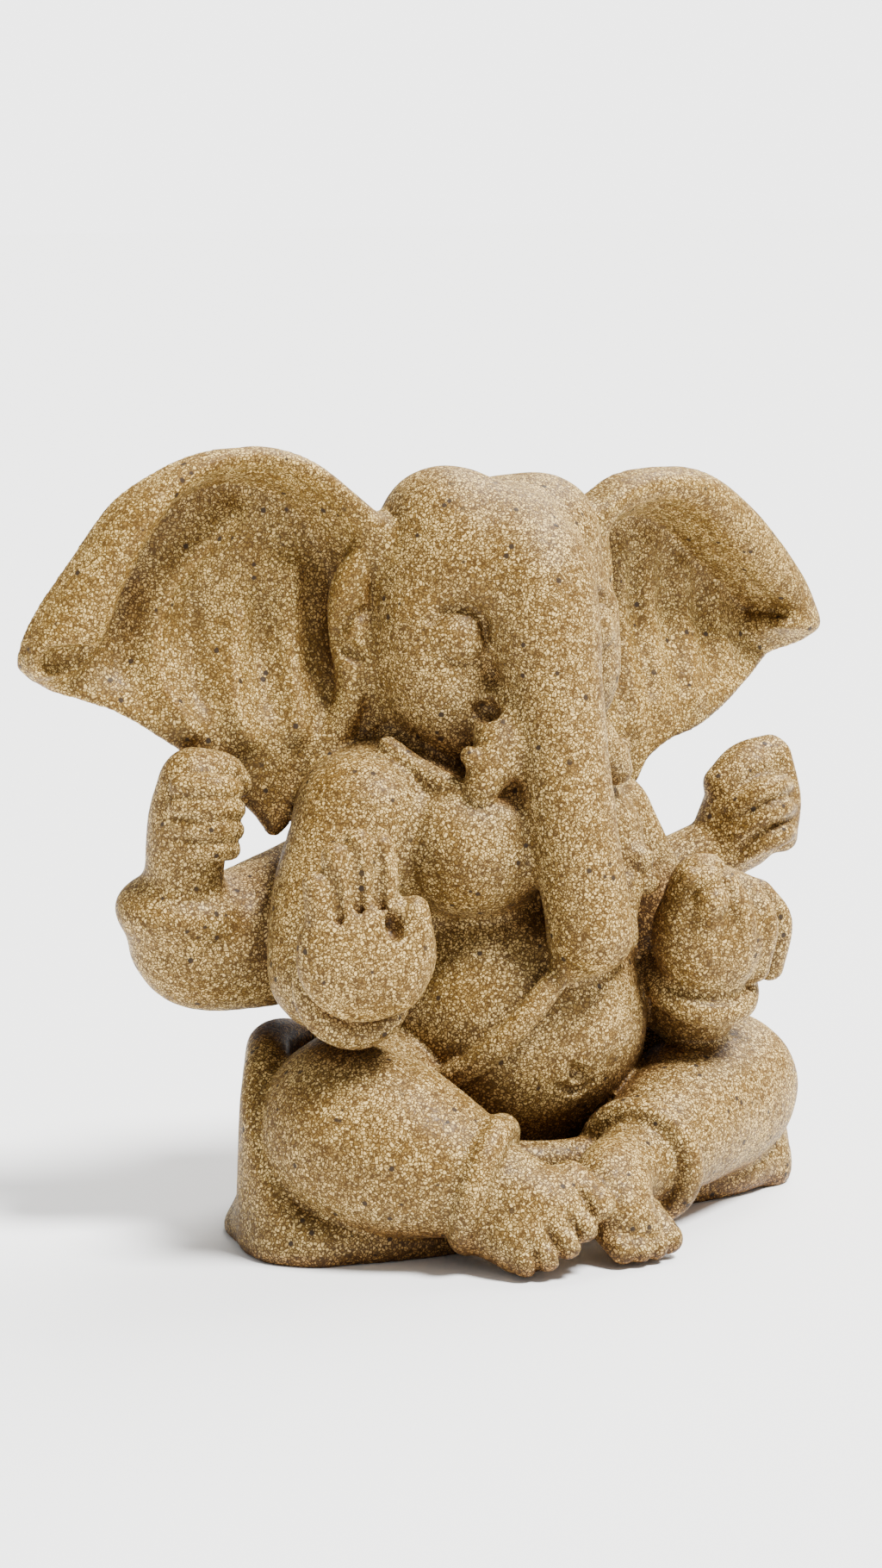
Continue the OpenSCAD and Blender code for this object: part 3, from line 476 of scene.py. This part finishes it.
hub = middle("left_foot")
clay = Clay("left_foot")
roll(clay, hub, [(0, 2.6, 1.5, 3.4), (-2.6, 0, 1.3, 3.4), (-3.4, -2.4, -0.5, 3.0),
                 (-2.8, -3.6, -1.9, 2.3)], 1)
roll(clay, hub, [(-4.4, -1, 1.7, 2.4), (-4, -3.4, -0.5, 1.9)], 1.4)
for tip, wide in [((0.2, -4.4, -3.2), 1.4), ((-1.7, -5.4, -3.5), 1.15), ((-3.4, -5.7, -3.5), 1.1),
                  ((-5, -5.5, -3.5), 1.1)]:
    root = np.array(tip) + (-0.6, 2.4, 1.8)
    roll(clay, hub, [(*tip, wide), (*root, wide + 0.1)], 0.3)
cast(clay, "left_foot", "sand_resin", 0.7)

# ---- Arms ----
# Four arms: the front pair bent forward over the knees, the rear pair reaching out
# from behind the shoulders and turning up at the elbow.
hub = middle("front_right_arm")
clay = Clay("front_right_arm")
roll(clay, hub, [(3.9, 3.6, 6.8, 6.0), (-0.3, 1.8, 0.4, 5.2), (-2.9, -0.8, -5.4, 4.4),
                 (-2.3, -5.2, -5.6, 3.6)], 1.2)
cast(clay, "front_right_arm", "sand_resin")

hub = middle("front_left_arm")
clay = Clay("front_left_arm")
roll(clay, hub, [(-3.8, 4.8, 8.5, 4.7), (-1.4, 2.6, 2.1, 4.6), (1.6, -1.4, -6.9, 4.5),
                 (0.6, -5, -4.9, 3.8)], 1.2)
cast(clay, "front_left_arm", "sand_resin")

hub = middle("rear_right_arm")
clay = Clay("rear_right_arm")
roll(clay, hub, [(9.3, 0.2, 2, 6.6), (1.7, 0, -0.6, 6.7), (-4.3, 0.4, -1.8, 6.0), (-8.1, 0.3, -1.2, 5.0),
                 (-8.7, 0, 2.4, 4.0)], 1.2)
cast(clay, "rear_right_arm", "sand_resin")

hub = middle("rear_left_arm")
clay = Clay("rear_left_arm")
roll(clay, hub, [(-6.6, 0, 0.1, 6), (-1.2, -0.4, -0.5, 4.4), (3.4, -1, -0.5, 3.6),
                 (7, -1.6, 0.7, 3.2)], 1.2)
cast(clay, "rear_left_arm", "sand_resin")

# ---- Bracelets ----
# Plain round bracelets on three wrists, like the anklets. The rear right one is a
# wide cuff that runs smoothly into the arm.
hub = middle("front_right_bracelet")
clay = Clay("front_right_bracelet")
ring(clay, hub, (-0.2, 0.2, 1.2), (-0.4, -3, 0.8), 4.1, 1.35)
cast(clay, "front_right_bracelet", "sand_resin", 0.6)

hub = middle("front_left_bracelet")
clay = Clay("front_left_bracelet")
ring(clay, hub, (0.2, 0.5, 0.4), (0, -1.6, 3), 4.3, 1.35)
cast(clay, "front_left_bracelet", "sand_resin", 0.6)

hub = middle("rear_right_bracelet")
clay = Clay("rear_right_bracelet")
ring(clay, hub, (0.6, 0.2, -1), (0, -0.4, 3), 3.6, 2.1)
cast(clay, "rear_right_bracelet", "sand_resin", 1.4)

# ---- Head ----
# The elephant head: two low domes on the crown, full cheeks, closed eyes with heavy
# lids, the rolls of lip that hold the tusks, and the small lower lip behind the trunk.
hub = middle("head") * (0, 1, 1)
clay = Clay("head")
pat(clay, hub, (-0.4, 0.9, 3.8), (11.0, 9.8, 8.8), blend=1)
pat(clay, hub, (-4.6, 0.5, 8.4), (5.6, 6.4, 5.3), (0, -16, 0), blend=1.6)
pat(clay, hub, (5.2, 0.5, 7.6), (5.2, 6.4, 5.1), (0, 16, 0), blend=1.6)
roll(clay, hub, [(0.2, -4.9, 14, 0.4), (0.2, -0.4, 13.7, 0.5), (0.2, 4.6, 12.8, 0.5)], 1.6, carve=True)
roll(clay, hub, [(-1.6, -3.3, 5, 6), (0.2, -7.1, 2.8, 4.8), (0.4, -8.5, -1.2, 4.4)], 2.4)
for side in (-1, 1):
    # Cheek and jaw, then the lid with the crease round it
    roll(clay, hub, [(side * 6.6, -1.3, -0.2, 5.2), (side * 6.3, -2.3, -4.9, 5.0),
                     (side * 4.8, -2.9, -8.2, 4.0)], 1.6)
    pat(clay, hub, (side * 6.5, -5.3, -0.9), (2.9, 2.7, 2.8), blend=0.9)
    crease(clay, hub, [(side * 9.2, 0.8, 0.3), (side * 8.0, 1.9, 0.5), (side * 6.4, 2, 0.55),
                       (side * 5.2, 1, 0.55), (side * 4.8, -1, 0.4)])
    crease(clay, hub, [(side * 8.8, -1.9, 0.2), (side * 7.2, -2.9, 0.35), (side * 5.4, -2.6, 0.25)])
    roll(clay, hub, [(side * 8.8, 2.1, -3.2, 4.0), (side * 7.6, 2.3, -9.6, 3.6)], 1.6)
roll(clay, hub, [(0, 0.5, -7.2, 7), (0, 1.5, -13.2, 6.6)], 1.6)
for side in (-1, 1):
    roll(clay, hub, [(side * 3.4, -7.1, -7, 2.3), (side * 4.6, -9.3, -9.6, 2.2),
                     (side * 5.6, -10.1, -11.5, 2.0)], 0.8)
    pat(clay, hub, (side * 5.4, -8.5, -7), (1.3, 1.6, 1.1), blend=0.6, carve=True)
roll(clay, hub, [(-1, -4.5, -11.2, 3.2), (-2.6, -8.1, -14.2, 1.9), (-3.2, -9.1, -16.5, 1.4)], 1)
cast(clay, "head", "sand_resin", 1.0)

# ---- Trunk ----
# The trunk hangs down over the belly and curls to the figure's left, its rounded end
# lying by the sweet. It is broad at the forehead and tapers evenly.
hub = middle("trunk")
clay = Clay("trunk")
roll(clay, hub, [(-3.2, 5.8, 17.3, 4.6), (-3.1, 2.6, 14.3, 4.8), (-2.9, 0.5, 7.3, 4.25),
                 (-3.1, -1.7, -0.5, 3.95), (-3, -3.2, -6.5, 3.9), (-2.5, -4.1, -11.7, 3.8),
                 (-2.1, -4.6, -15.5, 3.7)], 1.4)
roll(clay, hub, [(-2.1, -4.6, -15.8, 3.6), (0.2, -2.8, -16.5, 2.6), (2.2, -1.6, -14.7, 2.1),
                 (3.8, -1.2, -12.5, 1.6)], 1.0)
roll(clay, hub, [(5, -1.4, -10.3, 1.3)], 0.5)
roll(clay, hub, [(5.8, -1.4, -12.3, 1.25)], 0.3)
cast(clay, "trunk", "sand_resin", 1.6)

# ---- Necklace ----
# A plain cord round the neck, seen on the chest on both sides of the trunk.
# One thin roll of clay pressed into the chest.
hub = middle("necklace")
clay = Clay("necklace")
roll(clay, hub, [(-11.3, 3.6, 4.4, 0.9), (-9.5, 1, 2.4, 1.0), (-7.3, -1.8, 0.8, 1.0),
                 (-4.3, -4, -1.2, 1.0), (-0.9, -4.4, -2.6, 1.0), (2.7, -4.4, -2.6, 1.0),
                 (6.5, -3.6, -1.6, 1.0), (9.5, 0, 0, 1.0), (11.5, 3.8, 1.4, 0.9)], 0.5)
cast(clay, "necklace", "sand_resin", 0.5)

# ---- Tusks ----
# Two short tusks, one on each side of the trunk, each held in a roll of lip.
# They are stubby pegs of the same clay, cast with the head.
hub = middle("right_tusk")
clay = Clay("right_tusk")
roll(clay, hub, [(0.3, -1.4, 0.3, 1.7), (-0.7, -2.2, -1.1, 1.8), (-1.3, -2.4, -2.1, 1.6)], 0.5)
roll(clay, hub, [(-2.5, -2, 0.4, 0.75), (-1.7, -2.1, -0.5, 0.9)], 0.4)
cast(clay, "right_tusk", "sand_resin", 0.4)

hub = middle("left_tusk")
clay = Clay("left_tusk")
roll(clay, hub, [(-0.3, -1.6, 0.4, 1.8), (0.7, -2.2, -0.8, 1.8), (1.4, -2.2, -1.8, 1.5)], 0.5)
roll(clay, hub, [(2.3, -1.8, 0.2, 0.75), (1.7, -2, -0.6, 0.9)], 0.4)
cast(clay, "left_tusk", "sand_resin", 0.4)

# ---- Front right hand ----
# The open hand raised over the right knee, palm forward: a flat pat of clay with
# four straight fingers together and the thumb lying across the palm.
hub = middle("front_right_hand")
clay = Clay("front_right_hand")
pat(clay, hub, (-0.8, -1.9, -3.2), (6.3, 2.9, 5.5), (0, 0, -10), blend=1)
roll(clay, hub, [(-3.9, -0.8, -1.4, 2.1), (-0.9, -1.3, 0.6, 2.1), (1.5, -1.8, -0.8, 2.1)], 1.4)
for base, tip, wide in [((-4.7, -1.1, -1.4), (-5.4, -1.2, 3.3), 1.35),
                        ((-3.2, -1.4, -0.4), (-3.6, -1.5, 5.6), 1.45),
                        ((-1.3, -1.6, -0.1), (-1.5, -1.7, 6.7), 1.5),
                        ((0.7, -1.8, -0.4), (0.6, -1.9, 6.1), 1.5)]:
    bend = (np.array(base) + tip) / 2 + (0, -0.25, 0)
    roll(clay, hub, [(*base, wide + 0.1), (*bend, wide), (*tip, wide - 0.15)], 0.3)
for start, end in [((-4, -2.9, 0.2), (-4.6, -2.8, 3.9)), ((-2.2, -3.1, 0.8), (-2.5, -3.2, 5.9)),
                   ((-0.3, -3.3, 0.8), (-0.4, -3.4, 6.2))]:
    roll(clay, hub, [(*start, 0.42), (*end, 0.58)], 0.2, carve=True)
roll(clay, hub, [(1.5, -2.8, -5.6, 2.3), (2.9, -3.3, -2.4, 1.85), (2.9, -3.4, 0.6, 1.45)], 0.5)
pat(clay, hub, (0.6, -4.4, -0.4), (0.9, 1.5, 1.3), blend=0.5, carve=True)
cast(clay, "front_right_hand", "sand_resin", 0.4)

# ---- Front left hand ----
# The hand held in front of the chest with its fingers folded down round the sweet.
hub = middle("front_left_hand")
clay = Clay("front_left_hand")
pat(clay, hub, (-2, 0.6, -0.5), (5.4, 4.4, 5.4), blend=1)
roll(clay, hub, [(-4.6, 0.2, 1.7, 2.6), (-4, -0.2, 4.9, 2.2), (-2.8, -0.2, 5.7, 1.6)], 1)
roll(clay, hub, [(-0.6, 1, 4.1, 1.8), (3.2, 2, 2.3, 2.0)], 1.2)
for top, bend, tip in [((-1.8, -1.4, 4.7), (-1, -2.6, 1.7), (-0.8, -2, -2.7)),
                       ((1.2, -0.2, 3.7), (2.1, -1.6, 0.9), (2.1, -0.8, -3.5)),
                       ((3.7, 1.2, 2.9), (4.9, 0.2, 0.3), (4.8, 1, -3.9))]:
    roll(clay, hub, [(*top, 1.25), (*bend, 1.4), (*tip, 1.3)], 0.3)
cast(clay, "front_left_hand", "sand_resin", 0.8)

# ---- Sweet ----
# The small round sweet held in the front left hand: a few pinches of clay pressed
# together, cast with the hand.
hub = middle("sweet")
clay = Clay("sweet")
for lump in [(-2.3, 0.6, -0.9, 1.6), (-2.5, 1.1, 1, 1.3), (-2.3, 0.8, -2.7, 1.2), (-4.1, 1.3, 1.5, 0.9)]:
    roll(clay, hub, [lump], 0.4)
cast(clay, "sweet", "sand_resin", 0.4)

# ---- Rear hands ----
# Two raised hands behind, each closed in a loose fist.
# The fingers are folded across the front as stacked rolls of clay.
hub = middle("rear_right_hand")
clay = Clay("rear_right_hand")
roll(clay, hub, [(-1.2, 1.4, -4.9, 3.6), (-1.4, 0.6, -1.9, 3.4), (-1.2, 0.2, 2.1, 3.6),
                 (-1, 0, 5.1, 3.1)], 1)
roll(clay, hub, [(-0.8, 0, 6.1, 2.4), (1.8, -0.4, 6.1, 1.7), (3.2, -0.6, 5, 1.2)], 0.8)
for start, middle_joint, tip in [((-3.1, -2, 5.6), (-0.8, -3.5, 5.4), (1.4, -2.9, 5)),
                                 ((-3.3, -2, 3.8), (-0.9, -3.7, 3.6), (1.5, -3.1, 3.2)),
                                 ((-3.2, -2, 2), (-0.8, -3.7, 1.8), (1.4, -3.1, 1.4)),
                                 ((-3, -2, 0.2), (-0.8, -3.5, 0), (1.2, -2.8, -0.3))]:
    roll(clay, hub, [(*start, 0.95), (*middle_joint, 1.1), (*tip, 1.0)], 0.25)
cast(clay, "rear_right_hand", "sand_resin", 0.8)

hub = middle("rear_left_hand")
clay = Clay("rear_left_hand")
roll(clay, hub, [(-3.6, 1.8, -4.5, 3.0), (-0.8, 1.2, -2.9, 3.4), (1.4, 0.6, 0.3, 4.1),
                 (2.2, 0.8, 3.3, 2.8)], 1)
roll(clay, hub, [(1.8, 0.8, -2.7, 2.4), (4.2, -0.1, -0.9, 2.0), (4.8, 0, 2.3, 1.6),
                 (4.4, 0.6, 5.1, 1.4)], 1)
roll(clay, hub, [(-1.2, 1, 2.9, 1.7), (1.2, 1, 4.9, 1.7), (4.2, 1, 5.7, 1.4)], 0.8)
for first, second, third, tip in [
        ((-1.6, -1.6, 0.7), (0.2, -2.8, 2.2), (2.2, -3, 2.9), (4, -2, 2.7)),
        ((-1.4, -1.8, -1.5), (0.5, -3.1, 0.1), (2.5, -3.3, 0.8), (4.2, -2.2, 0.6)),
        ((-0.6, -1.6, -3.6), (1.1, -2.9, -2.2), (2.8, -3.1, -1.6), (4.2, -2.2, -1.7))]:
    roll(clay, hub, [(*first, 0.9), (*second, 1.15), (*third, 1.15), (*tip, 0.9)], 0.2)
roll(clay, hub, [(4.6, 0.2, 5.1, 1.4), (5, -0.6, 1.5, 1.4), (4.4, -0.8, -2.3, 1.6)], 0.6)
roll(clay, hub, [(-2, -1.6, 2.5, 0.3), (1.2, -2, 4.2, 0.5), (4.5, -1.8, 4.5, 0.4)], 0.5, carve=True)
cast(clay, "rear_left_hand", "sand_resin", 0.8)

# ---- Right ear ----
# A great ear: a thin dished leaf with its upper edge folded forward into a thick flap,
# a curl at the tip and soft folds down the dish. The casting is thin here, so it lets
# some light through and looks more amber than the rest.
# crease is the colour of the painted shade in creases
resins["thin_sand_resin"] = sand_cast(
    "thin_cast_sand", pale=(0.66, 0.47, 0.17, 1), brown=(0.19, 0.11, 0.024, 1),
    resin=(0.08, 0.042, 0.009, 1), crease=(0.38, 0.22, 0.1, 1), glow=0.16, depth=0.001)


def from_line(x, z, corners, closed=False):
    """How far each place is from a line of corners, in mm, and whether a closed one holds it."""
    near = np.full(np.broadcast(x, z).shape, 99.0)
    holds = np.zeros(near.shape, bool)
    ends = np.roll(corners, -1, 0) if closed else corners[1:]
    for (ax, az), (bx, bz) in zip(corners, ends):
        dx, dz = bx - ax, bz - az
        share = np.clip(((x - ax) * dx + (z - az) * dz) / (dx * dx + dz * dz + 1e-9), 0, 1)
        near = np.minimum(near, np.hypot(x - ax - share * dx, z - az - share * dz))
        crossed = ax + (z - az) * dx / (dz if dz else 1e-9)
        holds ^= ((az > z) != (bz > z)) & (x < crossed)
    return near, holds


def ease(value):
    """Goes smoothly from 0 to 1 as the value does."""
    value = np.clip(value, 0, 1)
    return value * value * (3 - 2 * value)


def ear_leaf(clay, hub, outline, dish, folds, valleys, dish_foot, fold_height):
    """A dished ear: outline, dish edge, folds and valleys are rows of (x, z) from the hub."""
    flap_height, dish_depth, half_thickness = 2.6, 3.5, 0.75  # all in mm
    set_back, sweep, reach = 1.8, 8.0, 42.0  # mm back at the middle, and 8 more when 42 out
    x, z = np.meshgrid(clay.axes[0] - hub[0], clay.axes[2] - hub[2], indexing="ij")
    near, held = from_line(x, z, curve_through(outline, 6, True), True)
    inside = np.where(held, near, -near)
    near, held = from_line(x, z, curve_through(dish, 6, True), True)
    dished = np.where(held, near, -near)
    flap = np.clip(-dished, 0, None)
    width = np.clip(inside, 0.01, None) + flap
    share = np.clip(flap / width, 0, 1)
    rise = np.minimum(flap_height, 0.8 * width) * np.sqrt(4 * share * (1 - share))
    rise = np.where(flap > 0, rise, 0)
    sunk = dish_depth * ease(dished / 1.8) * ease((z - dish_foot) / 12)
    for lines, height, spread in ((folds, -fold_height, 1.2), (valleys, 0.7 * fold_height, 1.1)):
        for line in lines:
            away = from_line(x, z, curve_through(line, 4))[0]
            sunk += height * np.exp(-(away / spread)**2) * ease(dished)
    sunk += 0.3 * np.exp(-(dished / 0.8)**2) * ease((z - dish_foot) / 6)
    leaf = set_back + sweep * (clay.axes[0].reshape(-1, 1) / reach)**2
    rounded = 1 - np.clip(inside, 0, half_thickness) / half_thickness
    half = half_thickness * np.sqrt(np.clip(1 - rounded**2, 0, 1))
    front = leaf - half - rise + sunk
    back = leaf + half + sunk
    y = clay.axes[1].reshape(1, -1, 1)
    tool = np.maximum(front[:, None, :] - y, y - back[:, None, :])
    tool = np.maximum(tool * 0.85, -inside[:, None, :]).astype(np.float32)
    clay.press(np.s_[:, :, :], tool, 0.3, carve=False)


hub = middle("right_ear")
clay = Clay("right_ear")
ear_leaf(
    clay, hub,
    outline=[(13.8, 10.3), (12.3, 11.3), (7.4, 15.3), (3.9, 16.9), (0.4, 17.2), (-3.9, 16.5),
             (-7.9, 14.6), (-11.1, 12.1), (-14.2, 7.7), (-17.5, 2.3), (-18.6, -1.1), (-17.9, -2.5),
             (-15.4, -3.9), (-10.5, -5.8), (-6.4, -8.6), (-4.4, -10.1), (-1.8, -12.5), (1.2, -15.2),
             (2.9, -17.4), (4.4, -16.5), (5.1, -13.9), (8.9, -10.8), (11.8, -8.5), (13.8, -5.7),
             (14.8, 1.9)],
    dish=[(10.8, 7.5), (8.2, 11.8), (4.4, 14.4), (0.6, 15.3), (-2.8, 14.7), (-5.8, 12.8), (-7.6, 10.3),
          (-9, 7.9), (-10.5, 4.6), (-12, 0.8), (-14.4, -1.8), (-17.8, -3.9), (-14.8, -7.1), (-6.8, -11.1),
          (-0.8, -16.1), (2.2, -19.9), (6.1, -18.7), (7.1, -14.1), (9.8, -10.7), (11.3, -6.7), (11.8, -3),
          (11.7, 4.1)],
    folds=[[(0.6, 10.8), (-5.1, 4.6), (-6.6, -2.4), (-4.6, -7.4)], [(1.1, 1.6), (-0.4, -4.8), (0.4, -8.4)],
           [(6.1, 5.9), (5.6, -2.1), (5.1, -8.1)]],
    valleys=[[(-8.2, 4.9), (-9.4, -2.3)], [(-2.6, 3.9), (-3.1, -4.5)], [(3.4, 3.3), (2.9, -5.5)]],
    dish_foot=-9.6, fold_height=1.0)
roll(clay, hub, [(11.1, -4, 7.9, 1.2), (10.1, -3.2, 4.3, 1.8), (10.1, -3.2, -0.1, 1.9),
                 (10.2, -3.4, -4.1, 1.6), (9.2, -3.2, -7.5, 1.3), (7.2, -2.6, -11.1, 1.1)], 1.2)
crease(clay, hub, [(10.8, 2.5, 0.4), (9.1, 1.8, 0.7), (8.3, 0.3, 0.9), (9.4, -1.1, 0.8), (10.8, -1.9, 0.4)])
pat(clay, hub, (-15, 0.8, -1.1), (3.2, 2.2, 1.7), (0, 4, 0), blend=0.4, carve=True)
roll(clay, hub, [(-15.1, 1.6, -1, 1.1), (-13, 1.8, -0.6, 1.3)], 0.4, carve=True)
cast(clay, "right_ear", "thin_sand_resin", 0.9)

# ---- Left ear ----
# The other ear, made the same way. Its flap is flatter, and its tip, folded shut on the figure, is left
# plain here.
# It hangs a little lower than the right ear, as hand-made figures do.
hub = middle("left_ear")
clay = Clay("left_ear")
ear_leaf(
    clay, hub,
    outline=[(-13.8, 10.7), (-11.5, 11.9), (-7.9, 13.7), (-2.6, 14.2), (2.8, 13.3), (8.3, 10),
             (13.6, 5.1), (17.2, 0.6), (18.2, -2.1), (16.2, -3.7), (13.4, -4.8), (9.3, -7.1), (4.3, -9.8),
             (1.4, -10.9), (-1.2, -11.5), (-3.8, -12.9), (-5.2, -14.9), (-6.3, -15.1), (-8.2, -12.5),
             (-10.8, -9.5), (-12.8, -5.5), (-13.8, 2.5)],
    dish=[(-9.4, 8.9), (-6.4, 10.5), (-3.1, 10.9), (0.8, 9.4), (4.3, 6.5), (8, 3.7), (11.2, 1.1),
          (12.8, -0.5), (11.8, -1.9), (14.8, -3.9), (13.8, -6.3), (9.2, -8.9), (4, -11.7), (-1.8, -13.3),
          (-3.6, -16.5), (-6.2, -16.9), (-8.2, -13.5), (-9.6, -8.5), (-9.5, -1.6), (-9.6, 4.3)],
    folds=[[(-2.2, 6.5), (-1.9, -1.5), (-2.4, -7.9)], [(2.4, 3.9), (2.6, -2.5), (1.8, -7.7)],
           [(-5.5, 5.5), (-5.4, -2.5), (-5.6, -9.5)], [(6.8, 1.3), (7.2, -4.1)]],
    valleys=[[(-3.8, 5.5), (-3.7, -6.5)], [(0.2, 4.5), (0.2, -6.5)], [(4.8, 1.9), (4.6, -6.1)],
             [(-7.4, 4.5), (-7.3, -7.5)]],
    dish_foot=-10.5, fold_height=0.5)
roll(clay, hub, [(-11, -4.1, 9.5, 0.8), (-10.2, -4.1, 5.5, 0.8), (-10, -4.1, -1.5, 0.8),
                 (-10, -3.9, -7.1, 0.7)], 0.5)
cast(clay, "left_ear", "thin_sand_resin", 0.9)

# ---- Table ----
# A plain flat sheet of white card that the figure stands on.
# It is 4 m wide, so that it runs far past the figure on every side.
half = 2.0
corners = [(-half, -half, 0), (half, -half, 0), (half, half, 0), (-half, half, 0)]
table = bpy.data.objects.new("table", bpy.data.meshes.new("table"))
table.data.from_pydata(corners, [], [(0, 1, 2, 3)])
bpy.context.collection.objects.link(table)
card = bpy.data.materials.new("white_card")
card.use_nodes = True
card.node_tree.nodes["Principled BSDF"].inputs["Base Color"].default_value = (0.93, 0.93, 0.92, 1)
card.node_tree.nodes["Principled BSDF"].inputs["Roughness"].default_value = 0.7
table.data.materials.append(card)

# ---- Light and camera ----
# A bright even room, one soft lamp high in front and a weaker, wider one behind.
# The room looks as white as the table, so that no edge shows between them.
world = bpy.data.worlds.new("studio")
bpy.context.scene.world = world
world.use_nodes = True
tree = world.node_tree
soft = tree.nodes["Background"]
soft.inputs["Color"].default_value = (1, 1, 1, 1)
soft.inputs["Strength"].default_value = 0.5
bright = add_node(tree, "Background", [("Strength", 4.8)])
seen = add_node(tree, "LightPath").outputs["Is Camera Ray"]
room = add_node(tree, "MixShader", [(0, seen), (1, soft.outputs[0]), (2, bright.outputs[0])])
tree.links.new(room.outputs[0], tree.nodes["World Output"].inputs["Surface"])


def soft_lamp(name, place, softness, power):
    """A distant lamp that lights the figure and the whole table evenly; softness in degrees."""
    lamp = bpy.data.lights.new(name, "SUN")
    lamp.angle = math.radians(softness)
    lamp.energy = power
    holder = bpy.data.objects.new(name, lamp)
    holder.location = place
    holder.rotation_mode = "QUATERNION"
    holder.rotation_quaternion = (-Vector(place)).to_track_quat("-Z", "Y")
    bpy.context.collection.objects.link(holder)


soft_lamp("key", (0.34, -0.52, 1.15), 16, 10.2)
soft_lamp("fill", (0.75, 0.5, 1.0), 40, 4.0)

turn, tilt, distance = math.radians(-30), math.radians(9), 0.42
back = Vector((math.sin(turn) * math.cos(tilt), -math.cos(turn) * math.cos(tilt), math.sin(tilt)))
across = Vector((math.cos(turn), math.sin(turn), 0))
aim = Vector((0, 0, 0.0382)) - across * 0.00436
camera = bpy.data.objects.new("camera", bpy.data.cameras.new("camera"))
camera.data.lens = 107.3
camera.data.sensor_width = 36
camera.location = aim + back * distance
camera.rotation_mode = "QUATERNION"
camera.rotation_quaternion = (-back).to_track_quat("-Z", "Y")
bpy.context.collection.objects.link(camera)
bpy.context.scene.camera = camera
